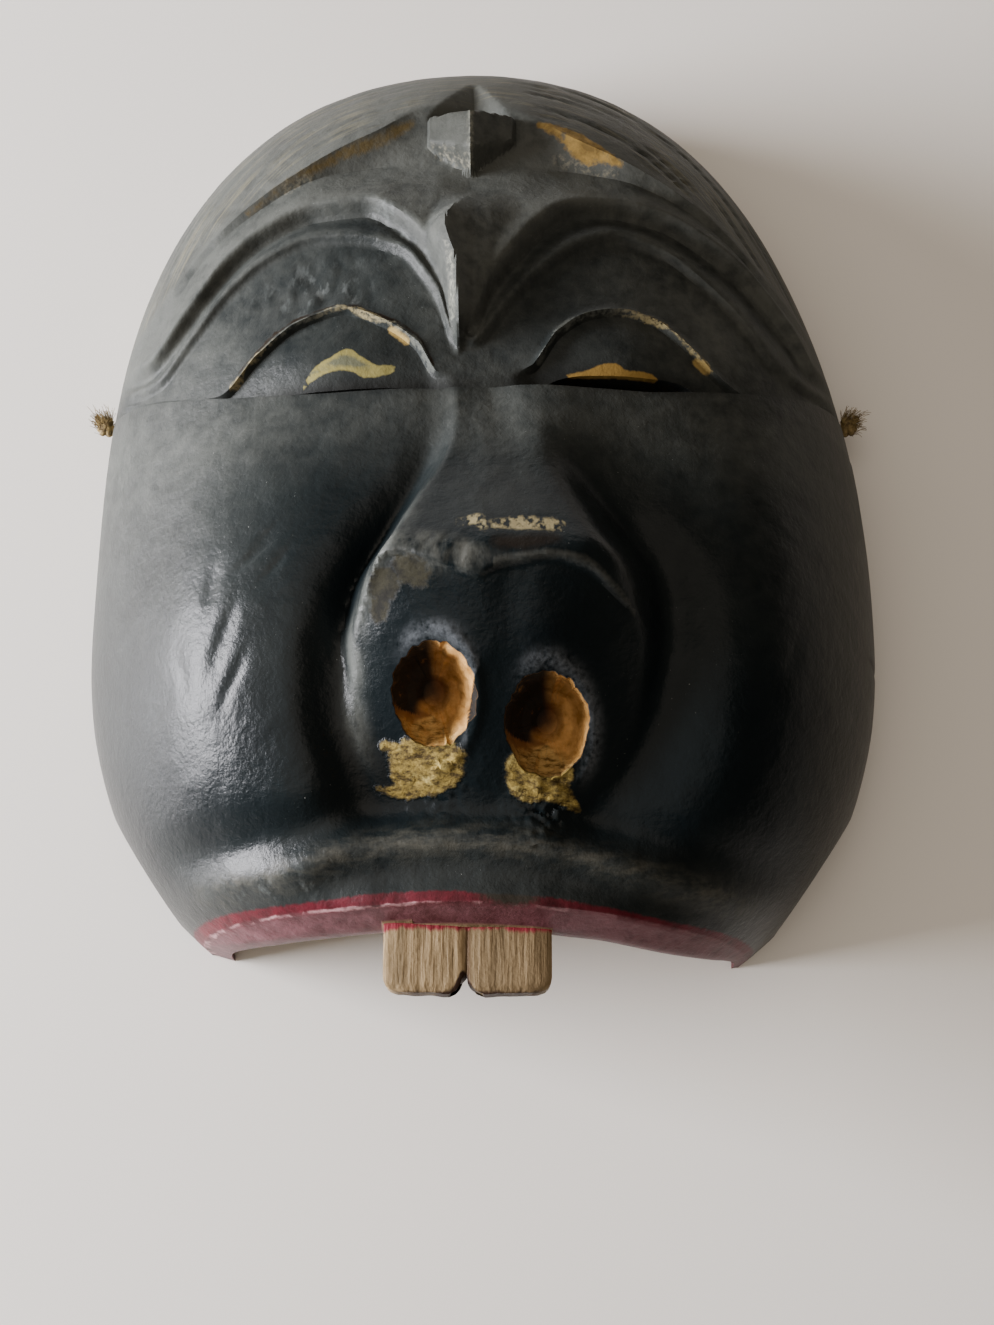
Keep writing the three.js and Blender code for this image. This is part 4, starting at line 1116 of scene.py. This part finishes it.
brushed = grainy(260, 4, 0.6, (1, 0.35, 1))
fine = grainy(1100, 3, 0.6)
broad = grainy(42, 4, 0.6)
grit = grainy(3000, 2, 0.5)
mottle = grainy(330, 5, 0.65)
crumbs = grainy(560, 5, 0.7, (1, 2.2, 1))
ticks = grainy(900, 2, 0.6, (1, 0.1, 1))
strokes = grainy(620, 3, 0.6, (1, 0.1, 1))
streaky = grainy(420, 4, 0.6, (1, 0.4, 1))
roll_wear = grainy(520, 4, 0.65, (0.35, 1, 1))
color = over("#0a1114", part(broad, 0.35, 0.7), "#12191b")
rough = 0.29


def lay(share, code, roughness):
    """One more finish over the colour and the roughness so far."""
    global color, rough
    color = over(color, share, code)
    rough = add(tree, "ShaderNodeMix", {0: share, 2: rough, 3: roughness}, data_type="FLOAT").outputs[0]


# Dust and rubbed paint, with painted highlights on the crests, painted glints on chisel marks and painted
# shade in the eye slits
dust = times(zone("dust"), part(plus(mottle, broad), 0.45, 1.25))
lay(times(dust, 0.9), "#50524e", 0.62)
# Grey on the crests: rubbed paint, partly painted highlight
lay(times(times(zone("crest"), part(plus(brushed, fine), 0.7, 1.2)), 0.5), "#575954", 0.6)
across = add(tree, "ShaderNodeSeparateXYZ", {0: place}).outputs[0]
hair_place = add(tree, "ShaderNodeCombineXYZ", {"X": zone("ring"), "Y": scaled(across, 60)}).outputs[0]
hair_wear = times(zone("hairy"), part(noise(tree, hair_place, 1.6, 4, 0.6), 0.5, 0.66))
lay(times(hair_wear, 0.45), "#78725c", 0.6)
# Painted glints on the chisel marks and the left end of the lip
lay(times(times(zone("painted_glints"), part(streaky, 0.54, 0.7)), 0.6), "#6f7473", 0.36)
lay(times(times(zone("roll"), part(roll_wear, 0.42, 0.66)), 0.6), "#504e45", 0.55)
lay(times(ragged("lobe", 2.4, 1.2), part(brushed, 0.4, 0.65)), "#4c4d48", 0.65)
# Painted highlight along the crests of the stud and the leaf
lay(times(times(ragged("sharp_crest_highlight", 0.9, 0.4), part(fine, 0.36, 0.6)), 0.75), "#8d8d80", 0.5)
lay(times(times(zone("wing"), part(brushed, 0.3, 0.6)), 0.65), "#575a56", 0.5)
lay(times(ragged("tip_line", 0.9, 0.4), 0.35), "#5a5a54", 0.6)
lay(times(zone("stud_left"), 0.6), "#343530", 0.6)
lay(times(ragged("tip_dark", 1.4, 0.7), 0.85), "#1b140d", 0.6)
# Painted shade in and around the sight slits
lay(times(ragged("slit_painted_shade", 1.2, 1.6), 0.9), "#12110f", 0.8)
lay(times(ragged("old_line", 1.7, 0.5), part(brushed, 0.36, 0.56)), "#584d34", 0.7)
lay(times(ragged("scuff", 1.8, 0.5), part(fine, 0.45, 0.65)), "#6f6c5f", 0.6)

# Ochre on the forehead, grit, painted shade in the crack of the rim, the lids with painted shadow along their
# cracks, and the tip of the nose
ochre_color = over("#6a562f", part(mottle, 0.4, 0.62), "#947a45")
lay(times(ragged("ochre", 1.6, 0.3), part(brushed, 0.33, 0.42)), ochre_color, 0.65)
lay(times(part(grit, 0.76, 0.79), part(broad, 0.5, 0.6)), "#a9aca8", 0.5)
# Painted shade in the crack of the rim
lay(zone("crack"), "#0b0a08", 0.8)
# Crack beside the lid's edge, partly painted shadow
lay(ragged("lid_crack_and_shadow", 0.5, 0.15), "#1d150c", 0.7)
lid_color = over("#50534f", zone("lid_cream"), "#877c5b")
lay(times(ragged("lid_line", 0.6, 0.14), part(fine, 0.38, 0.56)), lid_color, 0.65)
lay(times(ragged("lid_dash", 0.7, 0.2), 0.9), "#9a8450", 0.65)
lay(times(ragged("tip_strip", 1.5, 0.35), part(ticks, 0.4, 0.55)), "#9a8f6c", 0.7)
patch_color = over("#15140f", part(mottle, 0.42, 0.6), "#2c2a1e")
lay(times(ragged("nose_patch", 2.0, 0.35), 0.95), patch_color, 0.85)
lay(times(zone("rim_grey"), part(plus(brushed, fine), 0.75, 1.15)), "#4c5054", 0.5)

# Irises: yellow-grey on the left, darker ochre on the right
iris_pale = over("#7f7747", ragged("iris_core", 0.8, 0.3), "#5a5b48")
iris_color = over("#856a36", zone("iris_left"), iris_pale)
lay(ragged("iris", 0.55, 0.16), iris_color, 0.5)

# Bare wood torn by the gouge below the nostrils, and the cut fibres in the cups, with painted shade deep in
# each cup and painted light on its lower wall
torn_color = over("#3d3117", part(crumbs, 0.4, 0.62), "#8f7b40")
torn_color = over(torn_color, part(mottle, 0.56, 0.7), "#ab9a5c")
lay(ragged("torn", 2.6, 0.25, mottle), torn_color, 0.8)
cup_color = over("#8f6630", part(mottle, 0.35, 0.65), "#c8995c")
cup_color = over(cup_color, zone("cup_left"), "#74502a")
# Torn wood of the lower cup wall, lighter than outside: painted light against the shade in the cup
lightened_low_color = over("#5c4320", part(crumbs, 0.36, 0.58), "#b3935a")
cup_color = over(cup_color, times(zone("cup_low_painted_light"), part(mottle, 0.3, 0.5)), lightened_low_color)
# Painted shade: darker brown deeper in the cup
cup_color = over(cup_color, part(zone("cup_depth_shade"), 0.7, 1.0), "#4a2510")
cup_color = over(cup_color, times(zone("cup_dark"), part(mottle, 0.25, 0.4)), "#1f1c19")
lay(zone("cup"), cup_color, 0.75)

# Lip: crimson above its edge and pink below it, a painted reflection of the table on the underside; a painted
# highlight along the edge, strongest on the left, and painted shade on the right
crimson = over("#370e14", part(mottle, 0.3, 0.6), "#591823")
# Pink of the underside: painted reflection
pink_reflection = over("#4b272c", part(mottle, 0.35, 0.65), "#6c444a")
lip_color = over(crimson, part(zone("lip_edge"), -0.3, 0.7), pink_reflection)
# Painted highlight along the lip's edge, strongest on the left
edge_gap = plus(zone("lip_edge"), scaled(calc(tree, "SUBTRACT", mottle, 0.6), 1.2))
lip_edge_highlight = times(part(calc(tree, "ABSOLUTE", edge_gap), 0.3, 0.05), part(brushed, 0.45, 0.6))
lip_edge_highlight = times(lip_edge_highlight, plus(scaled(zone("lip_left"), 0.75), 0.1))
lip_color = over(lip_color, lip_edge_highlight, "#b98d90")
# Painted shade: the lip darker towards the right, away from the window
lip_right_painted_shade = times(calc(tree, "SUBTRACT", 1.0, zone("lip_left")), part(mottle, 0.3, 0.7))
lip_color = over(lip_color, times(lip_right_painted_shade, 0.3), "#3a1c1f")
lip_color = over(lip_color, ragged("lip_worn", 1.2, 0.4), "#2a2620")
lay(ragged("lip", 0.9, 0.2), lip_color, 0.42)

# Teeth: cream paint in long strokes, dark between and below them, lip red run down from above
tooth_edge = plus(zone("tooth_low"), scaled(calc(tree, "SUBTRACT", fine, 0.5), 0.8))
tooth_color = over("#64543b", part(strokes, 0.3, 0.62), "#957f5e")
tooth_color = over(tooth_color, times(zone("tooth_right"), 0.4), "#4b3d29")
tooth_color = over(tooth_color, times(part(zone("tooth_gap"), 0.7, 0.2), 0.9), "#4a3620")
tooth_color = over(tooth_color, part(tooth_edge, 0.8, 0.3), "#2b1a10")
tooth_color = over(tooth_color, ragged("drip", 2.6, 0.3, strokes), "#7a2630")
lay(zone("tooth"), tooth_color, 0.6)

height = plus(scaled(fine, 0.25), scaled(mottle, 0.75))
height = plus(height, scaled(times(ragged("torn", 2.6, 0.5, mottle), crumbs), 1.6))
height = plus(height, scaled(times(zone("tooth"), strokes), 1.4))
tree.links.new(color, shader.inputs["Base Color"])
tree.links.new(rough, shader.inputs["Roughness"])
tree.links.new(zone("gloss"), shader.inputs["Specular IOR Level"])
relief(tree, shader, 0.5, 0.0006, height)

# Bare light wood inside, with long grain and a little grime
grain = noise(bare_tree, bare_place, 220, 4, 0.6, (1, 0.08, 1))
bare_color = blend(bare_tree, step(bare_tree, grain, 0.3, 0.75), "#6f5433", "#a98a5c")
bare_tree.links.new(bare_color, bare_shader.inputs["Base Color"])
bare_shader.inputs["Roughness"].default_value = 0.8
relief(bare_tree, bare_shader, 0.4, 0.0004, grain)

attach(mask, "root")
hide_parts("mask")


# Knots
# The stopper knots outside the walls: a turned lump of twine that ends in loose fibres.
# Jute, as the cord; the fibres are scattered by Geometry Nodes.

WALL_LEFT, WALL_RIGHT = -73.218, 70.407            # outer mouths of the two holes
KNOT_GAP = 0.3
KNOT_TURNS, KNOT_REACH, KNOT_LENGTH, KNOT_STRAND = 1.35, 1.2, 2.3, 0.66


def knot_body(sign):
    """A lump of three wound strands around the cord's axis."""
    start = (WALL_LEFT if sign < 0 else WALL_RIGHT) + sign * (KNOT_GAP + 0.9)
    vertices, faces = [], []
    t = np.linspace(0, 1, 150)
    for strand in range(STRANDS):
        angle = 2 * math.pi * (KNOT_TURNS * t + strand / STRANDS)
        reach = KNOT_REACH * np.sin(np.pi * (0.12 + 0.88 * t)) + 0.2
        x = start + sign * (0.1 + KNOT_LENGTH * t + 0.4 * np.sin(angle * 1.5))
        path = np.stack([x, CORD_Y + reach * np.cos(angle), CORD_Z + reach * np.sin(angle)], -1)
        lay_strand(vertices, faces, path, KNOT_STRAND * (1 - 0.5 * t ** 6))
    tail = through(np.array([
        (start + sign * 1.6, CORD_Y, CORD_Z), (start + sign * 2.4, CORD_Y + 0.8, CORD_Z + 0.3),
        (start + sign * 3.2, CORD_Y + 2.0, CORD_Z + 0.8)]), 8)
    lay_strand(vertices, faces, tail, np.linspace(0.9, 0.45, len(tail)))
    return vertices, faces


# Sizes of the fibres, the inputs of their node group: for each square metre, in metres, and as
# shares of the longest line that a fibre follows
FIBRE_SIZES = {"Density": 3.2e6, "Radius": 0.00006, "Shortest": 0.2, "Longest": 0.8}


def fibres(tree, sign, finish):
    """Node group: the knot with a brush of loose fibres, out of the wall and up."""
    given = tree.nodes.new("NodeGroupInput").outputs
    source = given["Geometry"]
    scatter = add(tree, "GeometryNodeDistributePointsOnFaces", {
        "Mesh": source, "Density": given["Density"], "Seed": given["Seed"]})
    line = add(tree, "GeometryNodeCurvePrimitiveBezierSegment", {
        "Start": (0, 0, 0), "Start Handle": (0, 0.0003, 0.0014), "End Handle": (0.0004, 0.0007, 0.0024),
        "End": (0.0009, 0.0003, 0.0036), "Resolution": 7})
    round_profile = add(tree, "GeometryNodeCurvePrimitiveCircle", {
        "Radius": given["Radius"], "Resolution": 4})
    hair = add(tree, "GeometryNodeCurveToMesh", {
        "Curve": line.outputs[0], "Profile Curve": round_profile.outputs[0], "Fill Caps": True})
    turn = add(tree, "FunctionNodeRandomValue", {
        0: (-1.35, min(sign * 0.1, sign * 1.5), -0.6), 1: (0.15, max(sign * 0.1, sign * 1.5), 0.6),
        "Seed": given["Turn Seed"]}, data_type="FLOAT_VECTOR")
    size = add(tree, "FunctionNodeRandomValue", {
        2: given["Shortest"], 3: given["Longest"], "Seed": given["Size Seed"]}, data_type="FLOAT")
    placed = add(tree, "GeometryNodeInstanceOnPoints", {
        "Points": scatter.outputs["Points"], "Instance": hair.outputs[0],
        "Rotation": turn.outputs[0], "Scale": size.outputs[1]})
    real = add(tree, "GeometryNodeRealizeInstances", {"Geometry": placed.outputs[0]})
    both = add(tree, "GeometryNodeJoinGeometry")
    tree.links.new(real.outputs[0], both.inputs[0])
    tree.links.new(source, both.inputs[0])
    set_finish = add(tree, "GeometryNodeSetMaterial", {"Geometry": both.outputs[0], "Material": finish})
    tree.links.new(set_finish.outputs[0], tree.nodes.new("NodeGroupOutput").inputs[0])


for name, sign, seed in (("knot_tuft_left", -1, 61), ("knot_tuft_right", 1, 71)):
    knot = piece(name, *knot_body(sign), jute, 60)
    group = bpy.data.node_groups.new(f"{name}_fibres", "GeometryNodeTree")
    group.interface.new_socket("Geometry", in_out="INPUT", socket_type="NodeSocketGeometry")
    group.interface.new_socket("Geometry", in_out="OUTPUT", socket_type="NodeSocketGeometry")
    given_sizes = {**FIBRE_SIZES, "Seed": seed, "Turn Seed": seed + 1, "Size Seed": seed + 2}
    sockets = {}
    for label in given_sizes:
        kind = "NodeSocketInt" if "Seed" in label else "NodeSocketFloat"
        sockets[label] = group.interface.new_socket(label, in_out="INPUT", socket_type=kind).identifier
    fibres(group, sign, jute)
    modifier = knot.modifiers.new("fibres", "NODES")
    modifier.node_group = group
    for label, value in given_sizes.items():
        modifier[sockets[label]] = value
    bpy.context.view_layer.update()
    grown = bpy.data.meshes.new_from_object(
        knot.evaluated_get(bpy.context.evaluated_depsgraph_get()))
    knot.modifiers.remove(modifier)
    knot.data = grown
    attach(knot, "root")
    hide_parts("knot_left" if sign < 0 else "knot_right")


# Floor and light
# A pale table, a window to the left and the soft light of a white room.

# Satin white surface, a little warm
TABLE_HALF = 3000
table, _, table_shader, _ = material("pale_table")
table_shader.inputs["Base Color"].default_value = linear("#efebe4")
table_shader.inputs["Roughness"].default_value = 0.45
corners = [(x * TABLE_HALF, y * TABLE_HALF, 0) for x, y in ((-1, -1), (1, -1), (1, 1), (-1, 1))]
floor = piece("table", corners, [(0, 1, 2, 3)], table)


def area_light(name, location, target, size, watts, code):
    """A rectangle of light at a place in metres, turned to a target."""
    data = bpy.data.lights.new(name, "AREA")
    data.shape, data.size, data.size_y = "RECTANGLE", *size
    data.energy, data.color = watts, linear(code)[:3]
    made = bpy.data.objects.new(name, data)
    made.location = location
    made.rotation_euler = (Vector(target) - Vector(location)).to_track_quat("-Z", "Y").to_euler()
    bpy.context.scene.collection.objects.link(made)


area_light("window", (-0.85, -0.02, 0.26), (0, 0, 0.03), (0.5, 0.36), 35, "#fbfaff")
area_light("far_wall", (-0.5, 1.6, 0.2), (0, 0, 0.03), (2.4, 0.4), 4, "#ffffff")
area_light("ceiling", (-0.5, -0.3, 2.3), (0, 0, 0), (3.2, 3.2), 35, "#fff0df")
world = bpy.data.worlds.new("white_room")
bpy.context.scene.world = world
world.use_nodes = True
world.node_tree.nodes["Background"].inputs[0].default_value = linear("#ecdcca")
world.node_tree.nodes["Background"].inputs[1].default_value = 0.12
